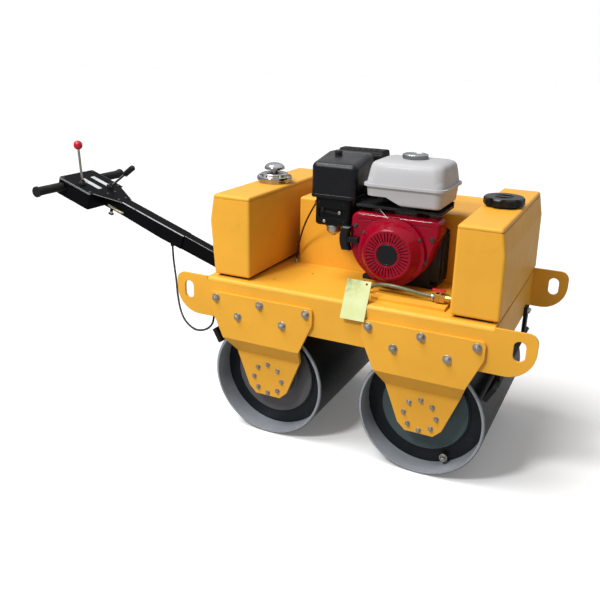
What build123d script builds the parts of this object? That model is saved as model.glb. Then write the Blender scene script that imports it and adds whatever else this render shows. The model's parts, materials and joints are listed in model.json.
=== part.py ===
# Walk-behind road roller: two vibrating drums, a deck with an engine between two tanks, and a folding handle.
# Millimetres. The machine is laid out with x = 0 midway between the drums, +X ahead (away from the handle),
# +Y to its left and z = 0 on the ground. At the end every piece is shifted so that the origin lies on the
# ground under the middle of the whole length.
from build123d import *
import math
import os

# Drums
drum_diameter = 425.0
drum_width = 600.0
drum_wall = 10.0
wheelbase = 564.0
rim_chamfer = 4.0
web_recess = 75.0
web_thickness = 10.0
disc_diameter = 298.0
disc_thickness = 15.0
disc_bevel = 4.0
boss_diameter = 176.0
boss_height = 3.0
axle_diameter = 60.0
axle_clearance = 0.05
hub_diameter = 140.0
hub_gap = 6.0

# Deck and side plates, one folded pan
deck_top = 579.0
sheet = 8.0
deck_half_length = 495.0
pan_side_gap = 43.0
bend_radius = 14.0
plate_bottom = 433.5
lug_reach = 127.0
lug_top_radius = 30.0
lug_bottom_radius = 88.0
slot_width = 36.0
slot_height = 64.0
slot_margin = 50.0
slot_z = 519.0
cross_member_overhang = 3.0
cross_member_bottom = 440.0
deck_hole_radius = 5.0
deck_holes = ((-188.0, -134.0), (-276.0, -255.0))

# Drum brackets, joggled plates outside the side plates
bracket_sheet = 10.0
bracket_top = 532.0
bracket_shoulder = 475.0
bracket_upper_bend = 367.0
bracket_lower_bend = 300.0
bracket_taper_end = 172.0
bracket_bottom = 146.0
bracket_half_top = 196.0
bracket_half_upper_bend = 148.0
bracket_half_lower_bend = 125.0
bracket_half_taper = 75.0
bracket_half_bottom = 48.0
bracket_rim_inset = 8.0
bracket_corner_radius = 14.0

# Scrapers
scraper_gap = 6.0
scraper_angle = 29.0
scraper_blade_length = 54.0
scraper_blade_thickness = 16.0
scraper_half_width = 292.0
scraper_hanger_y = 210.0
scraper_hanger_width = 40.0
scraper_hanger_thickness = 12.0
scraper_hanger_top = 470.0

# Tanks and their caps
tank_half_width = 322.0
tank_lift = 8.0
tank_top = 866.0
tank_edge_radius = 9.0
tank_pad_inset = 14.0
rear_tank_margin = 17.0
rear_tank_depth = 139.0
rear_tank_kink_out = 15.0
rear_tank_kink_z = 774.0
front_tank_margin = 142.0
front_tank_depth = 131.0
front_tank_kink_out = 15.0
front_tank_foot_out = 19.0
front_tank_kink_z = 787.0
lid_height = 11.0
lid_groove_height = 3.0
lid_groove_depth = 2.5
filler_y = -16.0
filler_flange_diameter = 126.0
filler_flange_height = 9.0
filler_ring_diameter = 92.0
filler_ring_height = 20.0
filler_neck_diameter = 30.0
filler_knob_diameter = 74.0
filler_knob_bottom = 37.0
filler_knob_lip = 5.0
filler_height = 70.0
filler_bevel = 3.0
water_cap_diameter = 130.0
water_cap_height = 31.0
water_cap_bevel = 5.0
water_cap_dish_diameter = 62.0
water_cap_dish_depth = 5.0
water_cap_bar_width = 16.0
water_neck_diameter = 100.0
water_neck_height = 7.0
water_cap_scallops = 9
water_cap_scallop_radius = 20.0
water_cap_scallop_depth = 5.0

# Belt guard along the far side
guard_near_y = -25.0
guard_far_y = 320.0
guard_back_gap = 39.0
guard_front_gap = 8.0
guard_top = 824.0
guard_edge_radius = 10.0

# Engine
engine_base_height = 10.0
engine_base_back = 131.0
engine_base_ahead = 209.0
engine_base_near_y = -200.0
engine_wing_back = 31.0
engine_wing_near_y = -285.0
engine_front_gap = 23.0
crank_height = 131.0
crankcase_half_width = 111.0
crankcase_rise = 80.0
crankcase_near_y = -125.0
crankcase_far_y = -40.0
crankcase_corner = 16.0
crankcase_foot = 14.0
pto_boss_radius = 58.0
fan_cover_depth = 75.0
fan_cover_radius = 141.0
fan_back = 9.0
fan_rise = 30.0
fan_cover_back = 146.0
fan_cover_ahead = 151.0
fan_cover_shoulder = 66.0
fan_cover_rise = 116.0
fan_cover_corner = 26.0
fan_cover_edge = 12.0
fan_seam_drop = 20.0
fan_seam_height = 4.0
fan_seam_depth = 3.0
recoil_depth = 50.0
recoil_base_radius = 112.0
recoil_base_depth = 14.0
recoil_cone_radius = 102.0
recoil_cone_start = 18.0
recoil_radius = 82.0
recoil_rim_depth = 4.0
recoil_face_radius = 78.0
recoil_hub_radius = 36.0
recoil_hub_recess = 2.0
recoil_slot_count = 36
recoil_slot_width = 3.4
recoil_slot_depth = 9.0
recoil_slot_inner = 42.0
recoil_slot_outer = 73.0
grip_bar_half = 40.0
grip_bar_width = 30.0
grip_bar_depth = 24.0
grip_bar_bulge = 9.0
grip_bar_lap = 8.0
grip_bar_bevel = 5.0
grip_bar_rise = 28.0
rope_guide_height = 18.0
rope_guide_depth = 20.0
rope_guide_rise = 25.0
rope_guide_gap = 0.5
cylinder_tilt = 25.0
cylinder_start = 118.0
cylinder_end = 212.0
cylinder_bore_half = 32.0
fin_half_height = 44.0
fin_half_width = 40.0
fin_thickness = 4.0
fin_pitch = 10.0
head_thickness = 24.0
head_inset = 4.0

# Fuel tank on the engine
fuel_back = 106.0
fuel_ahead = 164.0
fuel_near_y = -230.0
fuel_far_y = 0.0
fuel_rise = 152.0
fuel_lower_height = 56.0
fuel_flange_height = 8.0
fuel_upper_height = 72.0
fuel_inset = 8.0
fuel_lower_taper = 7.0
fuel_wall_height = 32.0
fuel_wall_inset = 16.0
fuel_shoulder_height = 56.0
fuel_shoulder_inset = 30.0
fuel_crown_inset = 62.0
fuel_wall_radius = 30.0
fuel_shoulder_radius = 36.0
fuel_crown_radius = 44.0
fuel_corner_radius = 34.0
fuel_foot_radius = 10.0
fuel_step_height = 25.0
fuel_step_from = 80.0
fuel_step_to = 132.0
fuel_neck_diameter = 68.0
fuel_neck_height = 2.5
fuel_cap_diameter = 80.0
fuel_cap_height = 14.0
fuel_cap_edge = 3.0
fuel_cap_dish = 2.5
fuel_cap_rim = 9.0
fuel_stay_width = 22.0
fuel_stay_spread = 60.0
fuel_stay_inset = 8.0
tray_gap = 16.0
tray_thickness = 8.0
tray_back = 134.0
tray_ahead = 150.0
tray_near_y = -190.0
tray_far_y = -48.0
tray_wall = 10.0
tray_wall_slope_gap = 2.0
oil_plug_radius = 11.0
oil_plug_length = 14.0
oil_plug_rise = 60.0
oil_plug_in = 24.0

# Air cleaner, carburettor and muffler
cleaner_back = 301.0
cleaner_length = 162.0
cleaner_near_y = -190.0
cleaner_far_y = -20.0
cleaner_rise = 146.0
cleaner_front_height = 114.0
cleaner_height = 137.0
cleaner_brow_y = -65.0
cleaner_radius = 20.0
cleaner_knob_in = 54.0
cleaner_knob_y = -88.0
cleaner_knob_radius = 12.0
cleaner_knob_height = 9.0
carb_back = 286.0
carb_length = 127.0
carb_near_y = -182.0
carb_far_y = -130.0
carb_height = 94.0
carb_radius = 12.0
carb_bevel = 7.0
carb_recess_depth = 5.0
carb_recess_margin = 14.0
carb_recess_low = 26.0
carb_recess_high = 58.0
throttle_boss_radius = 5.0
throttle_boss_length = 16.0
bowl_in = 60.0
bowl_y = -154.0
bowl_radius = 24.0
bowl_height = 28.0
muffler_back = 287.0
muffler_length = 161.0
muffler_near_y = 0.0
muffler_far_y = 85.0
muffler_lift = 56.0
muffler_height = 125.0
muffler_radius = 24.0
muffler_foot_inset = 30.0
muffler_foot_thickness = 12.0
muffler_louvres = 6
muffler_louvre_width = 6.0
muffler_louvre_length = 44.0
muffler_louvre_depth = 4.0
exhaust_diameter = 24.0
exhaust_in = 98.0
exhaust_rise = 120.0
exhaust_bend = 28.0

# Water line
valve_inset = 82.0
valve_rise = 28.0
valve_body = 30.0
valve_slimness = 0.8
fitting_length = 36.0
fitting_radius = 11.0
fitting_nut_radius = 15.0
fitting_nut_length = 10.0
valve_stem_radius = 5.0
valve_handle_rise = 20.0
valve_handle_thickness = 6.0
valve_handle_width = 12.0
valve_handle_overhang = 12.0
hose_diameter = 13.0
hose_sleeve_wall = 4.0
hose_sleeve_length = 30.0

# Blank tag on the hose
tag_width = 82.0
tag_height = 128.0
tag_thickness = 1.2
tag_x = 57.0
tag_inset = 7.0
tag_rise = 7.0
tag_lean = 23.96
tag_hole_radius = 4.0
tag_hole_side = 27.0
tag_hole_up = 54.0

# Folding handle
pivot_reach = 47.0
pivot_z = 485.4
arm_slope = 19.1
arm_half_height = 27.6
arm_belly = 34.0
arm_belly_at = 403.0
arm_split_at = 296.0
arm_end_at = 612.0
arm_lower_width = 44.0
arm_upper_width = 56.0
arm_edge_radius = 3.0
pivot_pin_diameter = 25.0
pivot_clearance = 0.05
clevis_side_gap = 1.0
clevis_plate = 10.0
clevis_reach = 32.0
clevis_web_gap = 2.0
pin_overhang = 6.0
stop_gap = 0.3
stop_start = 22.0
stop_end = 50.0
stop_depth = 14.0
control_box_start = 724.0
control_box_end = 898.0
control_box_half_width = 101.0
control_box_bottom = -44.0
control_box_wall_radius = 8.0
panel_top = 27.6
panel_thickness = 4.0
panel_tail_start = 617.0
panel_tail_half = 32.0
panel_tail_root_half = 88.0
handlebar_at = 863.0
handlebar_up = 1.0
handlebar_diameter = 26.0
handlebar_half_width = 250.0
grip_diameter = 36.0
grip_flange_diameter = 44.0
grip_flange_width = 8.0
grip_length = 140.0
grip_end_cover = 6.0
lever_diameter = 10.0
lever_boot_radius = 12.0
lever_boot_height = 10.0
drive_lever_at = 810.0
drive_lever_y = -55.0
drive_lever_lean = 57.0
drive_lever_rise = 143.7
drive_knob_diameter = 36.0
drive_knob_flat = 9.0
drive_knob_band = 2.0
drive_knob_socket = 12.0
speed_lever_at = 743.0
speed_lever_y = 42.0
speed_lever_lean = -90.0
speed_lever_rise = 128.0
speed_knob_length = 62.0
speed_knob_diameter = 24.0
speed_knob_bevel = 5.0
speed_knob_cover = 6.0
cable_gland_at = 347.0
cable_gland_y = -12.0
cable_gland_length = 12.0
cable_gland_radius = 8.0
cable_diameter = 8.0
throttle_diameter = 6.0
cable_start_z = 555.3
cable_gland_bottom = 432.0
cable_socket_y = -286.0
cable_socket_reach = 22.0
cable_socket_width = 20.0
cable_socket_height = 20.0

# Worked out from the sizes above
drum_radius = drum_diameter / 2
axle_z = drum_radius
drum_half = drum_width / 2
pan_half_width = drum_half + pan_side_gap
deck_under = deck_top - sheet
side_inner = pan_half_width - sheet
bend_bottom = deck_top - bend_radius
web_face = drum_half - web_recess
disc_face = web_face + disc_thickness
bracket_outer = pan_half_width + bracket_sheet
bracket_low_outer = drum_half - bracket_rim_inset
bracket_low_inner = bracket_low_outer - bracket_sheet
cross_member_x = deck_half_length + cross_member_overhang
lug_half_length = deck_half_length + lug_reach
slot_x = lug_half_length - slot_margin
pivot_x = -cross_member_x - pivot_reach
tank_bottom = deck_top + tank_lift
rear_tank_back = -deck_half_length + rear_tank_margin
rear_tank_front = rear_tank_back + rear_tank_depth
front_tank_back = deck_half_length - front_tank_margin
front_tank_front = front_tank_back + front_tank_depth
guard_back_x = rear_tank_front + guard_back_gap
guard_front_x = front_tank_back - guard_front_gap
engine_bottom = deck_top + engine_base_height
crank_x = front_tank_back - engine_front_gap - engine_base_ahead
crank_z = engine_bottom + crank_height
fan_cover_near_y = crankcase_near_y - fan_cover_depth
fan_cover_left = crank_x - fan_cover_back
fan_cover_right = crank_x + fan_cover_ahead
recoil_face_y = fan_cover_near_y - recoil_depth
crankcase_top = crank_z + crankcase_rise
fan_cover_top = crank_z + fan_cover_rise
fuel_left = crank_x - fuel_back
fuel_right = crank_x + fuel_ahead
fuel_middle_y = (fuel_near_y + fuel_far_y) / 2
fuel_bottom = crank_z + fuel_rise
fuel_flange_z = fuel_bottom + fuel_lower_height
fuel_shell_z = fuel_flange_z + fuel_flange_height
fuel_top = fuel_shell_z + fuel_upper_height
fuel_neck_top = fuel_top + fuel_neck_height
fuel_cap_x = (fuel_left + fuel_right) / 2
cleaner_left = crank_x - cleaner_back
cleaner_right = cleaner_left + cleaner_length
cleaner_knob_x = cleaner_left + cleaner_knob_in
cleaner_bottom = crank_z + cleaner_rise
cleaner_top = cleaner_bottom + cleaner_height
carb_left = crank_x - carb_back
carb_right = carb_left + carb_length
bowl_x = carb_left + bowl_in
carb_bottom = cleaner_bottom - carb_height
muffler_left = crank_x - muffler_back
muffler_right = muffler_left + muffler_length
exhaust_x = muffler_left + exhaust_in
muffler_bottom = guard_top + muffler_lift
muffler_top = muffler_bottom + muffler_height
valve_y = -tank_half_width + valve_inset
valve_z = deck_top + valve_rise


def block(x0, x1, y0, y1, z0, z1):
    return Pos((x0 + x1) / 2, (y0 + y1) / 2, (z0 + z1) / 2) * Box(x1 - x0, y1 - y0, z1 - z0)


def bar_y(x, z, radius, y0, y1):
    return Pos(x, (y0 + y1) / 2, z) * Rot(90, 0, 0) * Cylinder(radius, y1 - y0)


def side_prism(points, y0, y1):
    """Prism of a side-view outline, given as (x, z) points, between two y values."""
    outline = make_face(Polyline(*[(x, y0, z) for x, z in points], close=True))
    return extrude(outline, amount=y1 - y0, dir=(0, 1, 0))


def across_prism(points, x0, x1):
    """Prism of an end-view outline, given as (y, z) points, between two x values."""
    outline = make_face(Polyline(*[(x0, y, z) for y, z in points], close=True))
    return extrude(outline, amount=x1 - x0, dir=(1, 0, 0))


def turned(profile, x, y, z):
    """Solid turned from a profile of (radius, height) points about a vertical axis."""
    outline = make_face(Polyline(*[(r, 0, h) for r, h in profile], close=True))
    return Pos(x, y, z) * revolve(outline, Axis.Z)


def edges_along(solid, axis):
    return solid.edges().filter_by(axis)


def cord(points, diameter, name):
    """Round tube along straight runs joined by tangent arcs as large as the runs allow."""
    route = [Vector(*p) for p in points]
    radii = []
    for before, corner, after in zip(route, route[1:], route[2:]):
        run_in = corner - before
        run_out = after - corner
        half_turn = math.radians(run_in.get_angle(run_out) / 2)
        radii.append(0.45 * min(run_in.length, run_out.length) / math.tan(half_turn))
    path = FilletPolyline(*route, radius=radii)
    tube = sweep(Plane(origin=path @ 0, z_dir=path % 0) * Circle(diameter / 2), path)
    section_volume = math.pi * diameter ** 2 / 4 * path.length
    print(name, "radii", [round(r) for r in radii], "volume ratio", round(tube.volume / section_volume, 4))
    return tube


def deck():
    """Flat deck with its two long edges folded down to meet the side plates."""
    flat_half = pan_half_width - bend_radius
    plate = block(-deck_half_length, deck_half_length, -flat_half, flat_half, deck_under, deck_top)
    for side in (-1, 1):
        length = 2 * deck_half_length
        ring = Cylinder(bend_radius, length) - Cylinder(bend_radius - sheet, length)
        bend = Pos(0, side * flat_half, bend_bottom) * Rot(0, 90, 0) * ring
        corner = sorted((side * flat_half, side * pan_half_width))
        plate += bend & block(-deck_half_length, deck_half_length, *corner, bend_bottom, deck_top)
    for x, y in deck_holes:
        plate -= Pos(x, y, deck_top) * Cylinder(deck_hole_radius, 4 * sheet)
    return plate


def lifting_slot(x):
    width = slot_width
    straight = slot_height - width
    reach = 2 * pan_half_width + 4 * sheet
    slot = Box(width, reach, straight)
    for end in (-1, 1):
        slot += Pos(0, 0, end * straight / 2) * Rot(90, 0, 0) * Cylinder(width / 2, reach)
    return Pos(x, 0, slot_z) * slot


def side_plate(side):
    """Flat side plate whose ends stand out as lifting lugs."""
    y0, y1 = sorted((side * side_inner, side * pan_half_width))
    plate = block(-lug_half_length, lug_half_length, y0, y1, plate_bottom, deck_top)
    corners = edges_along(plate, Axis.Y).sort_by(Axis.Z)
    plate = fillet(corners[2:], lug_top_radius)
    corners = edges_along(plate, Axis.Y).filter_by(GeomType.LINE).sort_by(Axis.Z)
    plate = fillet(corners[:2], lug_bottom_radius)
    plate -= block(-deck_half_length, deck_half_length, y0 - 1, y1 + 1, bend_bottom, deck_top + 1)
    for end in (-1, 1):
        plate -= lifting_slot(end * slot_x)
    return plate


def cross_member(end):
    x0, x1 = sorted((end * (cross_member_x - sheet), end * cross_member_x))
    plate = block(x0, x1, -side_inner, side_inner, cross_member_bottom, deck_under)
    return chamfer(edges_along(plate, Axis.X).sort_by(Axis.Z)[-2:], bend_radius)


def drum_bracket(axle_x, side):
    """Joggled plate: flat on the side plate, then in past the drum's rim to the hub."""
    lean = math.atan2(bracket_outer - bracket_low_outer, bracket_upper_bend - bracket_lower_bend)
    inner_rise = bracket_sheet * math.tan(lean / 2)
    section = [
        (bracket_outer, bracket_top),
        (bracket_outer, bracket_upper_bend),
        (bracket_low_outer, bracket_lower_bend),
        (bracket_low_outer, bracket_bottom),
        (bracket_low_inner, bracket_bottom),
        (bracket_low_inner, bracket_lower_bend + inner_rise),
        (pan_half_width, bracket_upper_bend + inner_rise),
        (pan_half_width, bracket_top),
    ]
    half_outline = [
        (bracket_half_top, bracket_top),
        (bracket_half_top, bracket_shoulder),
        (bracket_half_upper_bend, bracket_upper_bend),
        (bracket_half_lower_bend, bracket_lower_bend),
        (bracket_half_taper, bracket_taper_end),
        (bracket_half_bottom, bracket_bottom),
    ]
    outline = half_outline + [(-x, z) for x, z in reversed(half_outline)]
    folded = across_prism([(side * y, z) for y, z in section], -bracket_half_top, bracket_half_top)
    blank = side_prism(outline, -bracket_outer - 1, bracket_outer + 1)
    top_corners = edges_along(blank, Axis.Y).sort_by(Axis.Z)[-4:]
    blank = fillet(top_corners, bracket_corner_radius)
    return Pos(axle_x, 0, 0) * (folded & blank)


def hub_housing(axle_x, side):
    """Bearing housing between the bracket and the drum, bored for the drum's axle."""
    y0, y1 = sorted((side * (disc_face + hub_gap), side * bracket_low_inner))
    housing = bar_y(axle_x, axle_z, hub_diameter / 2, y0, y1)
    return housing - bar_y(axle_x, axle_z, axle_diameter / 2 + axle_clearance, y0 - 1, y1 + 1)


def drum_shell(axle_x):
    shell = Cylinder(drum_radius, drum_width) - Cylinder(drum_radius - drum_wall, drum_width)
    outer_rims = shell.edges().filter_by(GeomType.CIRCLE).sort_by(SortBy.RADIUS)[-2:]
    shell = chamfer(outer_rims, rim_chamfer)
    return Pos(axle_x, 0, axle_z) * Rot(90, 0, 0) * shell


def drum_webs(axle_x):
    """End web and bolted disc at each end of the drum, both on the axle."""
    webs = []
    for side in (-1, 1):
        web_y = sorted((side * (web_face - web_thickness), side * web_face))
        disc_y = sorted((side * web_face, side * disc_face))
        web = bar_y(axle_x, axle_z, drum_radius - drum_wall, *web_y)
        disc = bar_y(axle_x, axle_z, disc_diameter / 2, *disc_y)
        rims = disc.edges().filter_by(GeomType.CIRCLE).sort_by(Axis.Y)
        web += chamfer(rims[-1] if side > 0 else rims[0], disc_bevel)
        boss_y = sorted((side * disc_face, side * (disc_face + boss_height)))
        web += bar_y(axle_x, axle_z, boss_diameter / 2, *boss_y)
        webs.append(web - bar_y(axle_x, axle_z, axle_diameter / 2, -drum_half, drum_half))
    return Compound(webs)


def drum_axle(axle_x):
    reach = bracket_low_inner - hub_gap
    return bar_y(axle_x, axle_z, axle_diameter / 2, -reach, reach)


def scraper(end):
    """Blade just off the outer side of a drum, on two hangers from the cross member."""
    tip_radius = drum_radius + scraper_gap
    angle = math.radians(scraper_angle)
    tip = (wheelbase / 2 + tip_radius * math.cos(angle), axle_z + tip_radius * math.sin(angle))
    rise = math.radians(90 - scraper_angle)
    along = (scraper_blade_length * math.cos(rise), scraper_blade_length * math.sin(rise))
    out = (scraper_blade_thickness * math.sin(rise), -scraper_blade_thickness * math.cos(rise))
    section = [
        tip,
        (tip[0] + along[0], tip[1] + along[1]),
        (tip[0] + along[0] + out[0], tip[1] + along[1] + out[1]),
        (tip[0] + out[0], tip[1] + out[1]),
    ]
    blade = side_prism([(end * x, z) for x, z in section], -scraper_half_width, scraper_half_width)
    x0, x1 = sorted((end * cross_member_x, end * (cross_member_x + scraper_hanger_thickness)))
    half = scraper_hanger_width / 2
    for side in (-1, 1):
        y = side * scraper_hanger_y
        blade += block(x0, x1, y - half, y + half, tip[1] + along[1] / 2, scraper_hanger_top)
    return blade


def lid_groove(x0, x1):
    """Shadow gap below a tank's lid, all round."""
    top = tank_top - lid_height
    reach = 2 * lid_groove_depth
    half = tank_half_width
    around = block(x0 - reach, x1 + reach, -half - reach, half + reach, top - lid_groove_height, top)
    inner_half = half - lid_groove_depth
    inner = (x0 + lid_groove_depth, x1 - lid_groove_depth)
    return around - block(*inner, -inner_half, inner_half, top - 2 * lid_groove_height, tank_top)


def rear_tank():
    outline = [
        (rear_tank_front, tank_bottom),
        (rear_tank_front, tank_top),
        (rear_tank_back, tank_top),
        (rear_tank_back - rear_tank_kink_out, rear_tank_kink_z),
        (rear_tank_back, tank_bottom),
    ]
    tank = side_prism(outline, -tank_half_width, tank_half_width)
    return fillet(tank.edges(), tank_edge_radius) - lid_groove(rear_tank_back, rear_tank_front)


def front_tank():
    outline = [
        (front_tank_back, tank_bottom),
        (front_tank_back, tank_top),
        (front_tank_front, tank_top),
        (front_tank_front + front_tank_kink_out, front_tank_kink_z),
        (front_tank_front + front_tank_foot_out, tank_bottom),
    ]
    tank = side_prism(outline, -tank_half_width, tank_half_width)
    return fillet(tank.edges(), tank_edge_radius) - lid_groove(front_tank_back, front_tank_front)


def tank_pads():
    """Rubber pads that lift both tanks off the deck."""
    half = tank_half_width - tank_pad_inset
    pads = []
    front_foot = front_tank_front + front_tank_foot_out
    for x0, x1 in ((rear_tank_back, rear_tank_front), (front_tank_back, front_foot)):
        x1 = min(x1, deck_half_length)
        pads.append(block(x0 + tank_pad_inset, x1 - tank_pad_inset, -half, half, deck_top, tank_bottom))
    return Compound(pads)


def filler_cap():
    """Plated filler breather: bolted flange, raised ring and a mushroom knob on a slim neck."""
    flange = filler_flange_diameter / 2
    ring = filler_ring_diameter / 2
    neck = filler_neck_diameter / 2
    knob = filler_knob_diameter / 2
    lip = filler_knob_bottom + filler_knob_lip
    bevel = filler_bevel
    base = Polyline((0, 0), (flange, 0), (flange, filler_flange_height - bevel),
                    (flange - bevel, filler_flange_height), (ring, filler_flange_height),
                    (ring, filler_ring_height - bevel), (ring - 2 * bevel, filler_ring_height),
                    (neck, filler_ring_height), (neck, filler_knob_bottom),
                    (knob - bevel, filler_knob_bottom), (knob, lip))
    dome = Spline((knob, lip), (0, filler_height), tangents=((0, 1), (-1, 0)))
    outline = make_face([*base.edges(), dome, Line((0, filler_height), (0, 0))])
    middle = (rear_tank_front + rear_tank_back) / 2
    return Pos(middle, filler_y, tank_top) * revolve(Plane.XZ * outline, Axis.Z)


def water_cap():
    """Screw cap with hand scallops and a dished top crossed by a grip bar, on a plain neck."""
    middle = (front_tank_back + front_tank_front) / 2
    radius = water_cap_diameter / 2
    body_height = water_cap_height - water_neck_height
    cap = Cylinder(radius, body_height)
    cap = chamfer(cap.edges().sort_by(Axis.Z)[-1], water_cap_bevel)
    notch = radius + water_cap_scallop_radius - water_cap_scallop_depth
    for turn in range(water_cap_scallops):
        place = Rot(0, 0, 360 / water_cap_scallops * turn) * Pos(notch, 0, 0)
        cap -= place * Cylinder(water_cap_scallop_radius, body_height + 2)
    dish = Cylinder(water_cap_dish_diameter / 2, 2 * water_cap_dish_depth)
    dish -= Box(water_cap_dish_diameter, water_cap_bar_width, 2 * water_cap_dish_depth)
    cap -= Pos(0, 0, body_height / 2) * dish
    cap = Pos(0, 0, water_neck_height + body_height / 2) * cap
    cap += Pos(0, 0, water_neck_height / 2) * Cylinder(water_neck_diameter / 2, water_neck_height)
    return Pos(middle, 0, tank_top) * cap


def belt_guard():
    guard = block(guard_back_x, guard_front_x, guard_near_y, guard_far_y, deck_top, guard_top)
    raised = [e for e in guard.edges() if e.center().Z > deck_top + 1]
    return fillet(raised, guard_edge_radius)


def engine_base():
    """Base plate, wider under the fan side."""
    front = crank_x + engine_base_ahead
    levels = (deck_top, engine_bottom)
    plate = block(crank_x - engine_base_back, front, engine_base_near_y, crankcase_far_y, *levels)
    return plate + block(crank_x - engine_wing_back, front, engine_wing_near_y, engine_base_near_y, *levels)


def fuel_step(x):
    """Height of the fuel tank's underside at a given x, flat on both sides of its slope."""
    share = (x - fuel_left - fuel_step_from) / (fuel_step_to - fuel_step_from)
    return fuel_bottom + fuel_step_height * (1 - min(max(share, 0), 1))


def crankcase():
    """Crankcase with its foot, drive boss, oil plug, and the stays and tray that carry the fuel tank."""
    left = crank_x - crankcase_half_width
    right = crank_x + crankcase_half_width
    foot = crankcase_foot
    case = block(left, right, crankcase_near_y, crankcase_far_y, engine_bottom, crankcase_top)
    case = fillet(edges_along(case, Axis.Y), crankcase_corner)
    foot_top = engine_bottom + foot
    case += block(left - foot, right + foot, crankcase_near_y, crankcase_far_y, engine_bottom, foot_top)
    case += bar_y(crank_x, crank_z, pto_boss_radius, crankcase_far_y, guard_near_y)
    half = fuel_stay_width / 2
    y0 = crankcase_near_y + fuel_stay_inset
    y1 = crankcase_far_y - fuel_stay_inset
    for x in (crank_x - fuel_stay_spread, crank_x + fuel_stay_spread):
        case += block(x - half, x + half, y0, y1, crankcase_top - sheet, fuel_step(x))
    low = fan_cover_top + tray_gap
    back = crank_x - tray_back
    ahead = crank_x + tray_ahead
    case += block(back, ahead, tray_near_y, tray_far_y, low, low + tray_thickness)
    wall_y = tray_far_y - tray_wall
    step_start = fuel_left + fuel_step_from - tray_wall_slope_gap
    step_end = fuel_left + fuel_step_to + tray_wall_slope_gap
    case += block(back, step_start, wall_y, tray_far_y, low, fuel_step(back))
    case += block(step_end, ahead, wall_y, tray_far_y, low, fuel_step(ahead))
    plug_z = engine_bottom + oil_plug_rise
    plug = rod_between((left, crankcase_near_y + oil_plug_in, plug_z),
                       (left - oil_plug_length, crankcase_near_y + oil_plug_in, plug_z), oil_plug_radius)
    return case + plug


def cylinder_head():
    """Finned barrel leaning back from the crank, with its head and rocker cover."""
    length = cylinder_end - cylinder_start
    middle_y = (crankcase_near_y + crankcase_far_y) / 2
    bore = 2 * cylinder_bore_half
    barrel = Pos(-(cylinder_start + cylinder_end) / 2, 0, 0) * Box(length, bore, bore)
    for n in range(int(length // fin_pitch)):
        place = Pos(-(cylinder_start + fin_pitch * (n + 0.6)), 0, 0)
        barrel += place * Box(fin_thickness, 2 * fin_half_width, 2 * fin_half_height)
    head_width = 2 * (fin_half_width - head_inset)
    head_height = 2 * (fin_half_height - head_inset)
    head = Pos(-(cylinder_end + head_thickness / 2), 0, 0) * Box(head_thickness, head_width, head_height)
    barrel += fillet(head.edges(), head_inset)
    placed = Pos(crank_x, middle_y, crank_z) * Rot(0, cylinder_tilt, 0) * barrel
    return placed - crankcase()


def fan_cover():
    """Blower housing: round about the fan, squared off along the top, with a seam under its upper lip."""
    width = fan_cover_right - fan_cover_left
    middle = (fan_cover_right + fan_cover_left) / 2
    plane = Plane.XZ.offset(-crankcase_near_y)
    round_part = CenterArc((crank_x - fan_back, crank_z + fan_rise), fan_cover_radius, 180, 180)
    top_middle = Pos(middle, fan_cover_top - fan_cover_shoulder / 2)
    top_part = top_middle * RectangleRounded(width, fan_cover_shoulder, fan_cover_corner)
    outline = make_hull(round_part.edges() + top_part.edges())
    cover = extrude(plane * outline, amount=fan_cover_depth)
    front_edges = [e for e in cover.edges() if e.center().Y < fan_cover_near_y + 0.5]
    cover = fillet(front_edges, fan_cover_edge)
    seam_z = fan_cover_top - fan_seam_drop
    front = fan_cover_near_y
    x0 = fan_cover_left + fan_cover_corner
    x1 = fan_cover_right - fan_cover_corner
    return cover - block(x0, x1, front - 1, front + fan_seam_depth, seam_z - fan_seam_height, seam_z)


def recoil_cover():
    """Starter case: flanged cone whose face carries radial cooling slots round a recessed centre."""
    profile = [
        (0, 0),
        (recoil_base_radius, 0),
        (recoil_base_radius, recoil_base_depth),
        (recoil_cone_radius, recoil_cone_start),
        (recoil_radius, recoil_depth - recoil_rim_depth),
        (recoil_face_radius, recoil_depth),
        (recoil_hub_radius, recoil_depth),
        (recoil_hub_radius, recoil_depth - recoil_hub_recess),
        (0, recoil_depth - recoil_hub_recess),
    ]
    case = turned(profile, 0, 0, 0)
    length = recoil_slot_outer - recoil_slot_inner
    middle = (recoil_slot_outer + recoil_slot_inner) / 2
    slot = Pos(middle, 0, recoil_depth) * Box(length, recoil_slot_width, 2 * recoil_slot_depth)
    step = 360 / recoil_slot_count
    case -= [Rot(0, 0, step * n) * slot for n in range(recoil_slot_count)]
    return Pos(crank_x, fan_cover_near_y, crank_z) * Rot(90, 0, 0) * case


def recoil_grip():
    """Curved pull grip beside the starter case, on its rope guide."""
    half = grip_bar_half
    right = fan_cover_left + grip_bar_lap
    left = right - grip_bar_width
    z = crank_z + grip_bar_rise
    plane = Plane.XZ.offset(-fan_cover_near_y)
    outer = ThreePointArc((left, z + half), (left - grip_bar_bulge, z), (left, z - half))
    inner = ThreePointArc((right, z - half), (right - grip_bar_bulge, z), (right, z + half))
    ends = [Line(outer @ 1, inner @ 0), Line(inner @ 1, outer @ 0)]
    bar = extrude(plane * make_face([outer, inner] + ends), amount=grip_bar_depth)
    bar = chamfer(bar.faces().sort_by(Axis.Y)[0].edges(), grip_bar_bevel)
    guide_z = crank_z + rope_guide_rise
    guide_right = crank_x - recoil_base_radius - rope_guide_gap
    guide_left = right - grip_bar_bulge - grip_bar_bevel
    guide = block(guide_left, guide_right, fan_cover_near_y - rope_guide_depth, fan_cover_near_y,
                  guide_z - rope_guide_height / 2, guide_z + rope_guide_height / 2)
    return bar + guide


def fuel_ring(inset, z, radius):
    """Rounded outline of the fuel tank at one level, set in from its flange."""
    middle = Pos((fuel_left + fuel_right) / 2, fuel_middle_y)
    width = fuel_right - fuel_left - 2 * inset
    depth = fuel_far_y - fuel_near_y - 2 * inset
    return Plane.XY.offset(z) * middle * RectangleRounded(width, depth, radius)


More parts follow.
